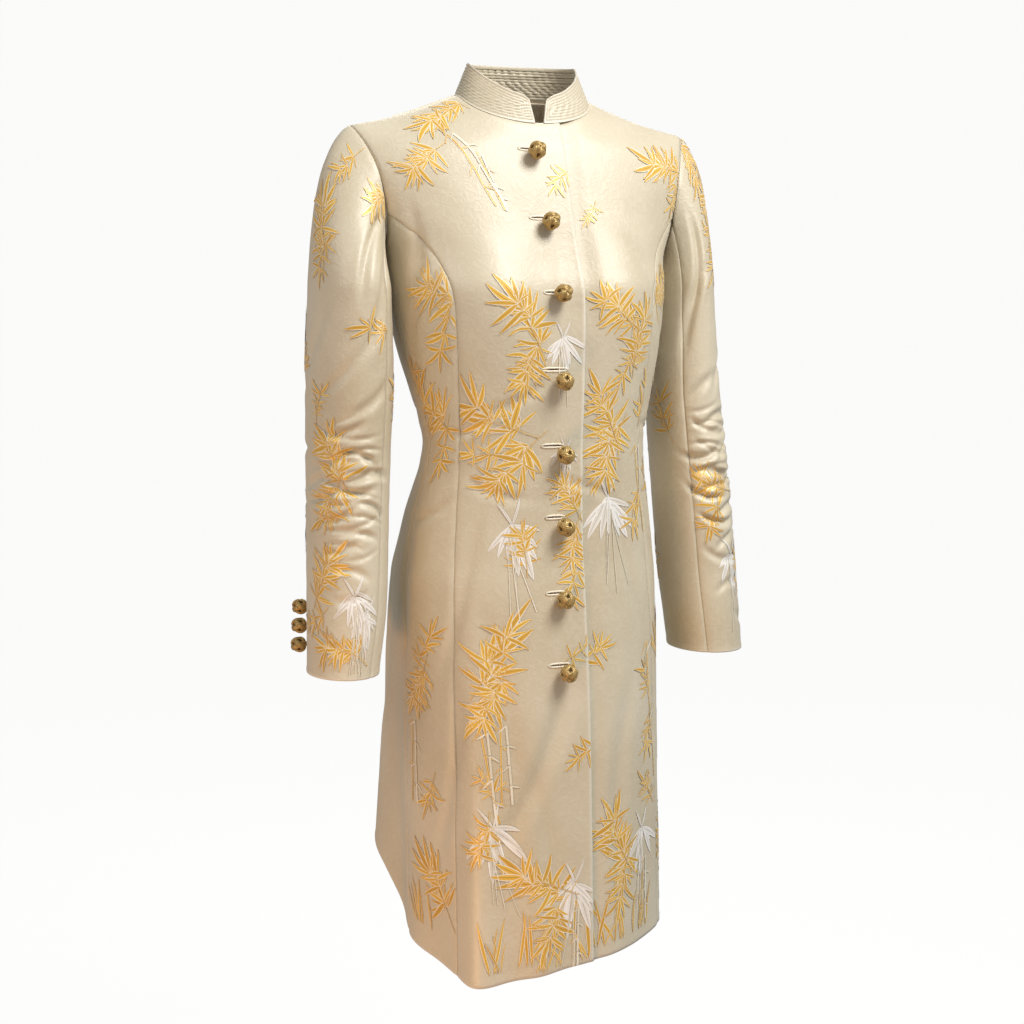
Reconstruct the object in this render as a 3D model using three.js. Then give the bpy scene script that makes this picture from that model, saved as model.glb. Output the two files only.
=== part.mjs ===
// A long fitted satin jacket with a stand collar, worn and hollow, closed by knot buttons.
// Millimetres, +Z up, +X to the wearer's left, the front faces -Y.
// The origin is the middle of the shoulder line, where a wearer carries the jacket.
import * as THREE from 'three'
import { mergeVertices } from 'three/addons/utils/BufferGeometryUtils.js'

// Cloth and seams
const WALL = 2
const COLLAR_WALL = 2.4
const FACING_WALL = 1
const SEAM_INSET = 0.2
const LAYER_GAP = 1.5

// Shoulders and neck
const SHOULDER_TIP = { x: 189, z: -18 }
const NECK_SIDE = { x: 73, z: 16 }
const SHOULDER_Y = 16
const SHOULDER_SAG = 4
const NECK_RISE_PER_MM = 0.53
const NECK_FRONT_Z = -14.5
const NECK_BACK_Z = 20
const SHOULDER_ROUND = { front: 62, back: 70 }
const RIDGE = 0.4

// Fronts: the right one laps over the left one
const LAP = 22.5
const LAP_BLEND = { from: 32, to: 64 }

// Rows and columns of the panels, shared along the seams
const ROWS = { toArmhole: 21, armholeFront: 8, armholeBack: 8 }
const ROW_EASE = 1.6
const EDGE_BEND_Z = { front: -118, back: -140 }
const COLUMNS = { neck: 5, shoulder: 6, sideFront: 7, backNeck: 5 }
const SLEEVE_ROWS = { cap: 8, arm: 16 }

// Horizontal sections of the body: height, half width, front, back and widest point
const BODY = [
  { z: -960, half: 144, front: -147, back: 148, side: 8 },
  { z: -880, half: 143.5, front: -143, back: 144, side: 6 },
  { z: -720, half: 143.5, front: -136, back: 137, side: 4 },
  { z: -630, half: 143.5, front: -131, back: 133, side: 3 },
  { z: -560, half: 144, front: -124, back: 130, side: 3 },
  { z: -491, half: 143, front: -115, back: 122, side: 2 },
  { z: -465, half: 140, front: -111, back: 112, side: -1 },
  { z: -425, half: 134, front: -108, back: 93, side: -8 },
  { z: -396, half: 127.5, front: -107, back: 77, side: -15 },
  { z: -368, half: 122, front: -107, back: 61, side: -23 },
  { z: -346, half: 120.5, front: -107, back: 54, side: -27 },
  { z: -324, half: 124, front: -108, back: 56, side: -26 },
  { z: -288, half: 133, front: -110, back: 67, side: -18 },
  { z: -241, half: 144, front: -110, back: 85, side: -8 },
  { z: -190, half: 152, front: -107, back: 100, side: 2 },
  { z: -155, half: 156, front: -94, back: 105, side: 8 },
  { z: -116, half: 171, front: -81, back: 104, side: 11 },
  { z: -72, half: 188, front: -67, back: 100, side: 14 },
  { z: -40, half: 198, front: -55, back: 92, side: 16 },
  { z: -14, half: 206, front: -42, back: 82, side: 17 },
  { z: 24, half: 214, front: -30, back: 70, side: 18 },
  { z: 44, half: 217, front: -26, back: 66, side: 18 },
]
const PLAN_EXPONENT = 2.3

// Soft rounds pushed out of the sections: bust in front, shoulder blades behind
const BUST = { push: 16, z: -182, above: 60, below: 80, x: 80, width: 50 }
const BLADE = { push: 8, z: -110, height: 70, x: 75, width: 55 }

// Skirt folds: angle from the front towards the wearer's left, width and push at the hem
const FOLDS = [
  { angle: -38, width: 9, push: 15, power: 1.7 },
  { angle: -64, width: 14, push: -7, power: 1.4 },
  { angle: -96, width: 10, push: -11, power: 1.2 },
  { angle: -124, width: 15, push: 29, power: 1.0 },
  { angle: -150, width: 12, push: -9, power: 1.3 },
  { angle: -12, width: 7, push: 4, power: 1.5 },
  { angle: 52, width: 12, push: 6, power: 1.5 },
  { angle: 80, width: 14, push: -5, power: 1.5 },
  { angle: 120, width: 16, push: 12, power: 1.3 },
  { angle: 150, width: 12, push: -6, power: 1.3 },
]
const FOLD_START = -430
const FOLD_END = -880

// Hem heights round the body
const HEM_MIDDLE_Z = -880
const HEM = [
  { angle: -180, z: -842 },
  { angle: -150, z: -824 },
  { angle: -126, z: -798 },
  { angle: -112, z: -820 },
  { angle: -92, z: -872 },
  { angle: -66, z: -893 },
  { angle: -38, z: -905 },
  { angle: -18, z: -898 },
  { angle: 0, z: -890 },
  { angle: 34, z: -880 },
  { angle: 70, z: -866 },
  { angle: 110, z: -850 },
  { angle: 150, z: -843 },
  { angle: 180, z: -842 },
]

// Armhole and princess seam, as distances from the centre line
const ARMHOLE = [
  { z: -155, x: 155.6 },
  { z: -148, x: 158.6 },
  { z: -128, x: 160.6 },
  { z: -104, x: 163 },
  { z: -72, x: 168.5 },
  { z: -42, x: 178 },
  { z: -18, x: 189 },
]
const PRINCESS_TOP_Z = -110
const PRINCESS = [
  { z: -960, x: 114 },
  { z: -720, x: 114 },
  { z: -560, x: 113 },
  { z: -450, x: 108 },
  { z: -346, x: 102 },
  { z: -260, x: 107 },
  { z: -190, x: 113 },
  { z: -160, x: 121 },
  { z: -140, x: 132 },
  { z: -124, x: 146 },
  { z: -110, x: 162.4 },
]
const SIDE_SEAM_ANGLE = 86

// Collar: top edge against the neck seam
const COLLAR_TOP = { half: 60, front: -37, back: 51, frontZ: 14, sideZ: 49, backZ: 53, fall: 1.3 }
const COLLAR_MIDDLE_Y = 9
const COLLAR_OPEN_TURN = 40
const COLLAR_GAP = { bottom: 4.5, top: 10.5 }
const COLLAR_ROWS = 4
const COLLAR_CORNER_DROP = 5
const COLLAR_LIFT = 0.3
const FACING = { from: 108, depth: 38, fall: 0.7, below: 0.5, gap: 1.5, columns: 14, rows: 5 }

// Arms: sections along each sleeve below the cap
const SLEEVE = {
  right: [
    { z: -187, x: 197, y: -7, half: 40.5, depth: 67 },
    { z: -280, x: 198.5, y: -8, half: 44, depth: 63 },
    { z: -345, x: 200, y: -7, half: 43, depth: 60 },
    { z: -406, x: 202, y: -9, half: 42, depth: 58 },
    { z: -511, x: 207, y: -19, half: 40.5, depth: 55 },
    { z: -581, x: 215, y: -30, half: 36.5, depth: 48 },
  ],
  left: [
    { z: -187, x: 187, y: 6, half: 31.5, depth: 59 },
    { z: -280, x: 187, y: -2, half: 36.5, depth: 57 },
    { z: -345, x: 191, y: -7, half: 39.5, depth: 56 },
    { z: -406, x: 195.5, y: -11, half: 40.5, depth: 56 },
    { z: -483, x: 200.5, y: -16, half: 41, depth: 54 },
    { z: -548, x: 202.5, y: -28, half: 40, depth: 52 },
    { z: -582, x: 204, y: -34, half: 39, depth: 50 },
  ],
}
const CAP_SLOPE = { top: 37, underarm: 82 }
const CAP_PULL = { start: 0.85, end: 0.8 }
const CAP_FRONT_LEAN = 0.12
const CAP_LOOK = 20
const UNDERARM_STEP = WALL + 0.4
const UNDERARM_REACH = 1.5
const NECK_REACH = 4
const SLEEVE_INSET = { side: 0.6, top: 0.5 }
const SLEEVE_SEAM = { frontTop: 128, frontCuff: 118, backTop: -84, backCuff: -34 }

// Buttons
const BUTTONS = [
  { z: -49, x: -13, lean: 0, hangs: false },
  { z: -121, x: -8, lean: 0, hangs: false },
  { z: -191, x: -6, lean: 0, hangs: false },
  { z: -271, x: 0, lean: -26, hangs: true },
  { z: -346, x: 0, lean: -8, hangs: true },
  { z: -421, x: 0, lean: -8, hangs: true },
  { z: -497, x: 0, lean: -30, hangs: true },
  { z: -572, x: 0, lean: -34, hangs: true },
]
const BUTTON_RADIUS = 9.6
const SHANK = { radius: 2, standing: 1.2, hanging: 3.6 }
const HANG_SLOPE = 41
const SEAT_GAP = 0.7
const CUFF_BUTTON_RADIUS = 8.6
const CUFF_BUTTON_HEIGHTS = [-519, -538, -557]
const CUFF_BUTTON_TURN = 4
const BALL_SIDES = 10
const BALL_RINGS = 7
const MERGE_DISTANCE = 1e-4

// Step in degrees (twice that in millimetres of height) for normals, and a rough outward direction
const NORMAL_STEP = 0.6
const OUTWARD = { y: 0.5, z: 0.6 }

const degrees = (a) => (a * Math.PI) / 180
const clamp = (x, low, high) => Math.min(high, Math.max(low, x))
const mix = (a, b, t) => a + (b - a) * t
const bell = (x, centre, width) => Math.exp(-(((x - centre) / width) ** 2))
const turn = (a) => ((((a + 180) % 360) + 360) % 360) - 180

// Smooth curve through one column of a table, with no overshoot between its rows.
function read(rows, key, at, column) {
  const points = rows[0][key] < rows[rows.length - 1][key] ? rows : [...rows].reverse()
  const last = points.length - 1
  const x = clamp(at, points[0][key], points[last][key])
  let i = 0
  while (i < last - 1 && x > points[i + 1][key]) i += 1
  const rise = (k) => (points[k + 1][column] - points[k][column]) / (points[k + 1][key] - points[k][key])
  const slope = (k) => {
    if (k === 0) return rise(0)
    if (k === last) return rise(last - 1)
    const before = rise(k - 1)
    const after = rise(k)
    if (before * after <= 0) return 0
    const h0 = points[k][key] - points[k - 1][key]
    const h1 = points[k + 1][key] - points[k][key]
    return (3 * (h0 + h1)) / ((2 * h1 + h0) / before + (h1 + 2 * h0) / after)
  }
  const h = points[i + 1][key] - points[i][key]
  const t = (x - points[i][key]) / h
  const a = points[i][column]
  const b = points[i + 1][column]
  return (
    a * (1 + 2 * t) * (1 - t) ** 2 +
    slope(i) * h * t * (1 - t) ** 2 +
    b * t * t * (3 - 2 * t) +
    slope(i + 1) * h * t * t * (t - 1)
  )
}

// Height of the shoulder line, which runs on inward as an imagined ridge over the neck.
function shoulderZ(x) {
  const t = (Math.abs(x) - NECK_SIDE.x) / (SHOULDER_TIP.x - NECK_SIDE.x)
  if (t <= 0) return NECK_SIDE.z + NECK_RISE_PER_MM * (NECK_SIDE.x - Math.abs(x))
  return mix(NECK_SIDE.z, SHOULDER_TIP.z, t) - SHOULDER_SAG * Math.sin(Math.PI * Math.min(t, 1))
}

function foldPush(angle, z) {
  const t = clamp((FOLD_START - z) / (FOLD_START - FOLD_END), 0, 1.1)
  return FOLDS.reduce((sum, f) => sum + f.push * t ** f.power * bell(turn(angle - f.angle), 0, f.width), 0)
}

// Outer face of the body at an angle from the front (positive to the wearer's left) and a height.
function bodyPoint(angle, z) {
  const half = read(BODY, 'z', z, 'half')
  const side = read(BODY, 'z', z, 'side')
  const sin = Math.sin(degrees(angle))
  const cos = Math.cos(degrees(angle))
  const power = 2 / PLAN_EXPONENT
  const reach = Math.abs(cos) ** power
  let x = half * Math.sign(sin) * Math.abs(sin) ** power
  const inFront = cos >= 0
  let y = side + (read(BODY, 'z', z, inFront ? 'front' : 'back') - side) * reach
  if (inFront) {
    const height = z > BUST.z ? BUST.above : BUST.below
    y -= BUST.push * bell(z, BUST.z, height) * bell(Math.abs(x), BUST.x, BUST.width)
  } else {
    y += BLADE.push * bell(z, BLADE.z, BLADE.height) * bell(Math.abs(x), BLADE.x, BLADE.width)
  }
  const push = foldPush(angle, z)
  x += push * sin
  y -= push * cos
  const down = clamp((shoulderZ(x) - z) / (inFront ? SHOULDER_ROUND.front : SHOULDER_ROUND.back), 0, 1)
  const round = Math.sqrt(1 - (1 - down) ** 2)
  return new THREE.Vector3(x, mix(SHOULDER_Y, y, round), z)
}

// Angle of the front point that stands at a distance x from the centre line.
function angleAt(x, z) {
  const part = clamp(Math.abs(x) / read(BODY, 'z', z, 'half'), 0, 1)
  return (Math.sign(x) * Math.asin(part ** (PLAN_EXPONENT / 2)) * 180) / Math.PI
}

function bodyNormal(angle, z) {
  const step = NORMAL_STEP
  const inFront = Math.cos(degrees(angle)) >= 0
  const across = bodyPoint(angle + step, z).sub(bodyPoint(angle - step, z))
  const up = bodyPoint(angle, z).sub(bodyPoint(angle, z - 2 * step))
  const normal = across.cross(up).normalize()
  const outward = new THREE.Vector3(Math.sin(degrees(angle)), inFront ? -OUTWARD.y : OUTWARD.y, OUTWARD.z)
  if (normal.dot(outward) < 0) normal.negate()
  const onRidge = shoulderZ(bodyPoint(angle, z).x) - z < RIDGE
  return onRidge ? normal.setY(0).normalize() : normal
}

const hemZ = (angle) => read(HEM, 'angle', turn(angle), 'z')

// Hem point straight below a distance from the centre line, in front.
function hemBelow(x) {
  let z = HEM_MIDDLE_Z
  for (let i = 0; i < 4; i += 1) z = hemZ(angleAt(x, z))
  return z
}

// Closed wall between an outer grid of points and the same grid moved in along its normals.
// points[j][i] and normals[j][i] run across (i) and up (j), seen from outside, left to right.
function wallFromGrid(points, normals, thickness) {
  const rows = points.length
  const columns = points[0].length
  const vertices = []
  for (const side of [0, 1]) {
    for (let j = 0; j < rows; j += 1) {
      for (let i = 0; i < columns; i += 1) {
        const p = points[j][i].clone().addScaledVector(normals[j][i], -side * thickness)
        vertices.push(p.x, p.y, p.z)
      }
    }
  }
  const at = (side, j, i) => side * rows * columns + j * columns + i
  const faces = []
  const quad = (a, b, c, d) => faces.push(a, b, c, a, c, d)
  for (let j = 0; j < rows - 1; j += 1) {
    for (let i = 0; i < columns - 1; i += 1) {
      quad(at(0, j, i), at(0, j, i + 1), at(0, j + 1, i + 1), at(0, j + 1, i))
      quad(at(1, j, i), at(1, j + 1, i), at(1, j + 1, i + 1), at(1, j, i + 1))
    }
    quad(at(0, j, 0), at(0, j + 1, 0), at(1, j + 1, 0), at(1, j, 0))
    quad(at(0, j, columns - 1), at(1, j, columns - 1), at(1, j + 1, columns - 1), at(0, j + 1, columns - 1))
  }
  for (let i = 0; i < columns - 1; i += 1) {
    quad(at(0, 0, i + 1), at(0, 0, i), at(1, 0, i), at(1, 0, i + 1))
    quad(at(0, rows - 1, i), at(0, rows - 1, i + 1), at(1, rows - 1, i + 1), at(1, rows - 1, i))
  }
  const geometry = new THREE.BufferGeometry()
  geometry.setAttribute('position', new THREE.Float32BufferAttribute(vertices, 3))
  geometry.setIndex(faces)
  return geometry
}

// Moves the border points of a grid in from its sides, so that neighbours stay apart at seams.
function insetBorder(points, sides, distance) {
  const rows = points.length
  const columns = points[0].length
  const moved = points.map((row) => row.map((p) => p.clone()))
  const pull = (j, i, j2, i2, j3, i3, j4, i4) => {
    const inward = points[j2][i2].clone().sub(points[j][i])
    const along = points[j3][i3].clone().sub(points[j4][i4]).normalize()
    inward.addScaledVector(along, -inward.dot(along)).normalize()
    moved[j][i].addScaledVector(inward, distance)
  }
  for (let j = 0; j < rows; j += 1) {
    const above = Math.min(j + 1, rows - 1)
    const below = Math.max(j - 1, 0)
    if (sides.left) pull(j, 0, j, 1, above, 0, below, 0)
    if (sides.right) pull(j, columns - 1, j, columns - 2, above, columns - 1, below, columns - 1)
  }
  for (let i = 0; i < columns; i += 1) {
    const after = Math.min(i + 1, columns - 1)
    const before = Math.max(i - 1, 0)
    if (sides.top) pull(rows - 1, i, rows - 2, i, rows - 1, after, rows - 1, before)
    if (sides.bottom) pull(0, i, 1, i, 0, after, 0, before)
  }
  return moved
}

// Fills a grid of plan values between four borders given as lists of [across, z] pairs. With a reach
// over 1 the top border's shape is felt only near it, so that a steep one can't fold the grid over.
function fillBetween(bottom, top, left, right, reach = 1) {
  const columns = bottom.length
  const rows = left.length
  return Array.from({ length: rows }, (_, j) => {
    const v = (j / (rows - 1)) ** reach
    return Array.from({ length: columns }, (_, i) => {
      const u = i / (columns - 1)
      return [0, 1].map(
        (k) =>
          (1 - v) * bottom[i][k] +
          v * top[i][k] +
          (1 - u) * left[j][k] +
          u * right[j][k] -
          (1 - u) * ((1 - v) * bottom[0][k] + v * top[0][k]) -
          u * ((1 - v) * bottom[columns - 1][k] + v * top[columns - 1][k]),
      )
    })
  })
}

const steps = (count, from, to) => Array.from({ length: count + 1 }, (_, k) => mix(from, to, k / count))

// Steps that shorten towards the end, for the tight round under the shoulder seam.
const easedSteps = (count, from, to) => steps(count, 0, 1).map((t) => mix(from, to, 1 - (1 - t) ** ROW_EASE))

// Neck seam at an angle round the neck: 0 in front, 90 over the shoulder, 180 behind.
function neckSeam(turnAngle) {
  const x = NECK_SIDE.x * Math.sin(degrees(turnAngle))
  if (turnAngle <= 90) {
    return { x, z: mix(NECK_SIDE.z, NECK_FRONT_Z, Math.cos(degrees(turnAngle))), back: false }
  }
  return { x, z: mix(NECK_BACK_Z, NECK_SIDE.z, Math.sin(degrees(turnAngle))), back: true }
}

const LAP_TURN = (Math.asin(LAP / NECK_SIDE.x) * 180) / Math.PI
const GAP_TURN = (LAP_TURN * COLLAR_GAP.bottom) / LAP
const neckFrontTurns = steps(COLUMNS.neck, LAP_TURN, 90)
const neckBackTurns = steps(COLUMNS.backNeck, 90, 180)
const shoulderXs = steps(COLUMNS.shoulder, NECK_SIDE.x, SHOULDER_TIP.x)
const princessZs = (x) => steps(ROWS.toArmhole, hemBelow(x), PRINCESS_TOP_Z)
const armholeFrontZs = easedSteps(ROWS.armholeFront, PRINCESS_TOP_Z, SHOULDER_TIP.z)
const armholeBackZs = easedSteps(ROWS.armholeBack, ARMHOLE[0].z, SHOULDER_TIP.z)
const underarmZs = steps(COLUMNS.sideFront, PRINCESS_TOP_Z, ARMHOLE[0].z)
const princessX = (z) => read(PRINCESS, 'z', z, 'x')
const armholeX = (z) => read(ARMHOLE, 'z', z, 'x')
const princessHemX = PRINCESS[0].x
const toBack = (angle) => 180 - angle

// Front panel, for the wearer's right (side -1) or left (side 1); the left one dips under the lap.
function frontPanel(side) {
  const lapHem = hemBelow(-side * LAP)
  const lapNeck = neckSeam(LAP_TURN).z
  const edge = [
    ...steps(ROWS.toArmhole, lapHem, EDGE_BEND_Z.front),
    ...easedSteps(ROWS.armholeFront, EDGE_BEND_Z.front, lapNeck).slice(1),
  ].map((z) => [-LAP, z])
  const outer = [
    ...princessZs(side * princessHemX).map((z) => [princessX(z), z]),
    ...armholeFrontZs.slice(1).map((z) => [armholeX(z), z]),
  ]
  const neckColumns = [-LAP_TURN, -GAP_TURN, GAP_TURN, ...neckFrontTurns.slice(0, -1)].map((a) => neckSeam(a))
  const top = [
    ...neckColumns.map((p) => [p.x, p.z]),
    ...shoulderXs.map((x) => [x, shoulderZ(x)]),
  ]
  const columnCount = top.length - 1
  const bottom = steps(columnCount, -LAP, princessHemX).map((x) => [x, hemBelow(side * x)])
  const plan = fillBetween(bottom, top, edge, outer, NECK_REACH)
  return bodyPanel(plan, side, (x, z) => angleAt(side * x, z), { left: false, right: true, top: true }, side > 0)
}

// Wall of a body panel from its plan grid; across values become angles by toAngle.
function bodyPanel(plan, side, toAngle, seams, dips = false) {
  const grid = side < 0 ? plan.map((row) => [...row].reverse()) : plan
  const borders = side < 0 ? { ...seams, left: seams.right, right: seams.left } : seams
  const angles = grid.map((row) => row.map(([across, z]) => toAngle(across, z)))
  const normals = grid.map((row, j) => row.map(([, z], i) => bodyNormal(angles[j][i], z)))
  const points = grid.map((row, j) =>
    row.map(([across, z], i) => {
      const point = bodyPoint(angles[j][i], z)
      if (!dips) return point
      const under = 1 - clamp((across - LAP_BLEND.from) / (LAP_BLEND.to - LAP_BLEND.from), 0, 1)
      const depth = (WALL + LAYER_GAP) * under * under * (3 - 2 * under)
      return point.addScaledVector(normals[j][i], -depth)
    }),
  )
  return wallFromGrid(insetBorder(points, borders, SEAM_INSET), normals, WALL)
}

const sideSeamZs = (side) => steps(ROWS.toArmhole, hemZ(side * SIDE_SEAM_ANGLE), ARMHOLE[0].z)

// Angle of the armhole on the front or the back, meeting the side seam under the arm.
function armholeAngle(z, inFront) {
  const front = angleAt(armholeX(z), z)
  return inFront ? Math.min(front, SIDE_SEAM_ANGLE) : toBack(front)
}

function sideFrontPanel(side) {
  const inner = princessZs(side * princessHemX).map((z) => [angleAt(princessX(z), z), z])
  const outer = sideSeamZs(side).map((z) => [SIDE_SEAM_ANGLE, z])
  const top = underarmZs.map((z, k) =>
    k === COLUMNS.sideFront ? [SIDE_SEAM_ANGLE, z] : [armholeAngle(z, true), z],
  )
  const bottom = steps(COLUMNS.sideFront, inner[0][0], SIDE_SEAM_ANGLE).map((a) => [a, hemZ(side * a)])
  bottom[0][1] = inner[0][1]
  const plan = fillBetween(bottom, top, inner, outer)
  return bodyPanel(plan, side, (a) => side * a, { left: true, right: true, top: true })
}

function backPanel(side) {
  const inner = [
    ...sideSeamZs(side).map((z) => [SIDE_SEAM_ANGLE, z]),
    ...armholeBackZs.slice(1).map((z) => [armholeAngle(z, false), z]),
  ]
  const top = [
    ...[...shoulderXs].reverse().map((x) => [toBack(angleAt(x, shoulderZ(x))), shoulderZ(x)]),
    ...neckBackTurns.slice(1).map((a) => {
      const p = neckSeam(a)
      return [toBack(angleAt(p.x, p.z)), p.z]
    }),
  ]
  const centre = [
    ...steps(ROWS.toArmhole, hemZ(180), EDGE_BEND_Z.back),
    ...easedSteps(ROWS.armholeBack, EDGE_BEND_Z.back, NECK_BACK_Z).slice(1),
  ].map((z) => [180, z])
  const bottom = steps(top.length - 1, SIDE_SEAM_ANGLE, 180).map((a) => [a, hemZ(side * a)])
  const plan = fillBetween(bottom, top, inner, centre)
  return bodyPanel(plan, side, (a) => side * a, { left: true, right: true, top: true })
}

// Outward normals of a grid from its own neighbours.
function gridNormals(points) {
  const rows = points.length
  const columns = points[0].length
  return points.map((row, j) =>
    row.map((_, i) => {
      const across = points[j][Math.min(i + 1, columns - 1)].clone().sub(points[j][Math.max(i - 1, 0)])
      const up = points[Math.min(j + 1, rows - 1)][i].clone().sub(points[Math.max(j - 1, 0)][i])
      return across.cross(up).normalize()
    }),
  )
}

// Turns round the neck from the collar's left front end, round the back, to its right front end.
const collarHalf = [GAP_TURN, ...neckFrontTurns, ...neckBackTurns.slice(1)]
const collarTurns = [...collarHalf, ...collarHalf.slice(0, -1).reverse().map((a) => 360 - a)]

function neckPoint(turnAngle) {
  const side = turnAngle <= 180 ? 1 : -1
  const seam = neckSeam(side > 0 ? turnAngle : 360 - turnAngle)
  const front = angleAt(seam.x, seam.z)
  const angle = side * (seam.back ? toBack(front) : front)
  return { angle, z: seam.z, side, point: bodyPoint(angle, seam.z) }
}

// Stand collar: rises from the neck seam and leans in to its top edge.
function collar() {
  const topAt = (turnAngle) => {
    const side = turnAngle <= 180 ? 1 : -1
    const round = side > 0 ? turnAngle : 360 - turnAngle
    const sin = Math.sin(degrees(round))
    const cos = Math.cos(degrees(round))
    const open = Math.max(0, 1 - round / COLLAR_OPEN_TURN) * (COLLAR_GAP.top - COLLAR_GAP.bottom)
    const end = cos > 0 ? COLLAR_TOP.front : COLLAR_TOP.back
    const endZ = cos > 0 ? COLLAR_TOP.frontZ : COLLAR_TOP.backZ
    const drop = round < LAP_TURN / 2 ? COLLAR_CORNER_DROP : 0
    return new THREE.Vector3(
      side * (COLLAR_TOP.half * sin + open),
      mix(COLLAR_MIDDLE_Y, end, Math.abs(cos)),
      mix(COLLAR_TOP.sideZ, endZ, Math.abs(cos) ** COLLAR_TOP.fall) - drop,
    )
  }
  const points = steps(COLLAR_ROWS, 0, 1).map((v) =>
    collarTurns.map((a) => {
      const bottom = neckPoint(a).point
      bottom.z += COLLAR_LIFT
      return bottom.lerp(topAt(a), v)
    }),
  )
  return wallFromGrid(points, gridNormals(points), COLLAR_WALL)
}

// Facing inside the back neck, which shows between the collar ends.
function neckFacing() {
  const turns = steps(FACING.columns, FACING.from, 360 - FACING.from)
  const grid = steps(FACING.rows, 1, 0).map((v) =>
    turns.map((a) => {
      const neck = neckPoint(a)
      const sin = Math.sin(degrees(a))
      const cos = Math.cos(degrees(a))
      const x = NECK_SIDE.x * sin + v * FACING.depth * sin
      const z = neck.z - v * FACING.depth * Math.abs(cos) ** FACING.fall - FACING.below
      return [neck.side * toBack(angleAt(Math.abs(x), z)), z]
    }),
  )
  const normals = grid.map((row) => row.map(([angle, z]) => bodyNormal(angle, z)))
  const points = grid.map((row, j) =>
    row.map(([angle, z], i) => bodyPoint(angle, z).addScaledVector(normals[j][i], -WALL - FACING.gap)),
  )
  return wallFromGrid(points, normals, FACING_WALL)
}

// Armhole ring from the shoulder tip, down the front, under the arm and up the back.
function armholeRing(side) {
  const front = [...armholeFrontZs].reverse().map((z) => [armholeAngle(z, true), z])
  const under = underarmZs.slice(1).map((z, k) => [
    k === COLUMNS.sideFront - 1 ? SIDE_SEAM_ANGLE : armholeAngle(z, true),
    z,
  ])
  const back = armholeBackZs.slice(1).map((z) => [armholeAngle(z, false), z])
  const ring = [...front, ...under, ...back].map(([angle, z]) => ({
    point: bodyPoint(side * angle, z),
    normal: bodyNormal(side * angle, z),
  }))
  const underarm = front.length + under.length - 1
  const lengths = ring.map(() => 0)
  for (let i = 1; i < ring.length; i += 1) {
    lengths[i] = lengths[i - 1] + ring[i].point.distanceTo(ring[i - 1].point)
  }
  const half = lengths[underarm]
  const rest = lengths[ring.length - 1] - half
  ring.forEach((r, i) => {
    r.turn = i <= underarm ? (180 * lengths[i]) / half : 180 + (180 * (lengths[i] - half)) / rest
  })
  return ring
}

// Point of a sleeve's horizontal section: turn 0 is outward, 90 in front, 180 at the body.
function sleeveSection(side, turnAngle, z) {
  const arm = side > 0 ? SLEEVE.left : SLEEVE.right
  const out = read(arm, 'z', z, 'x') + read(arm, 'z', z, 'half') * Math.cos(degrees(turnAngle))
  const y = read(arm, 'z', z, 'y') - read(arm, 'z', z, 'depth') * Math.sin(degrees(turnAngle))
  return new THREE.Vector3(side * out, y, z)
}

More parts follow.
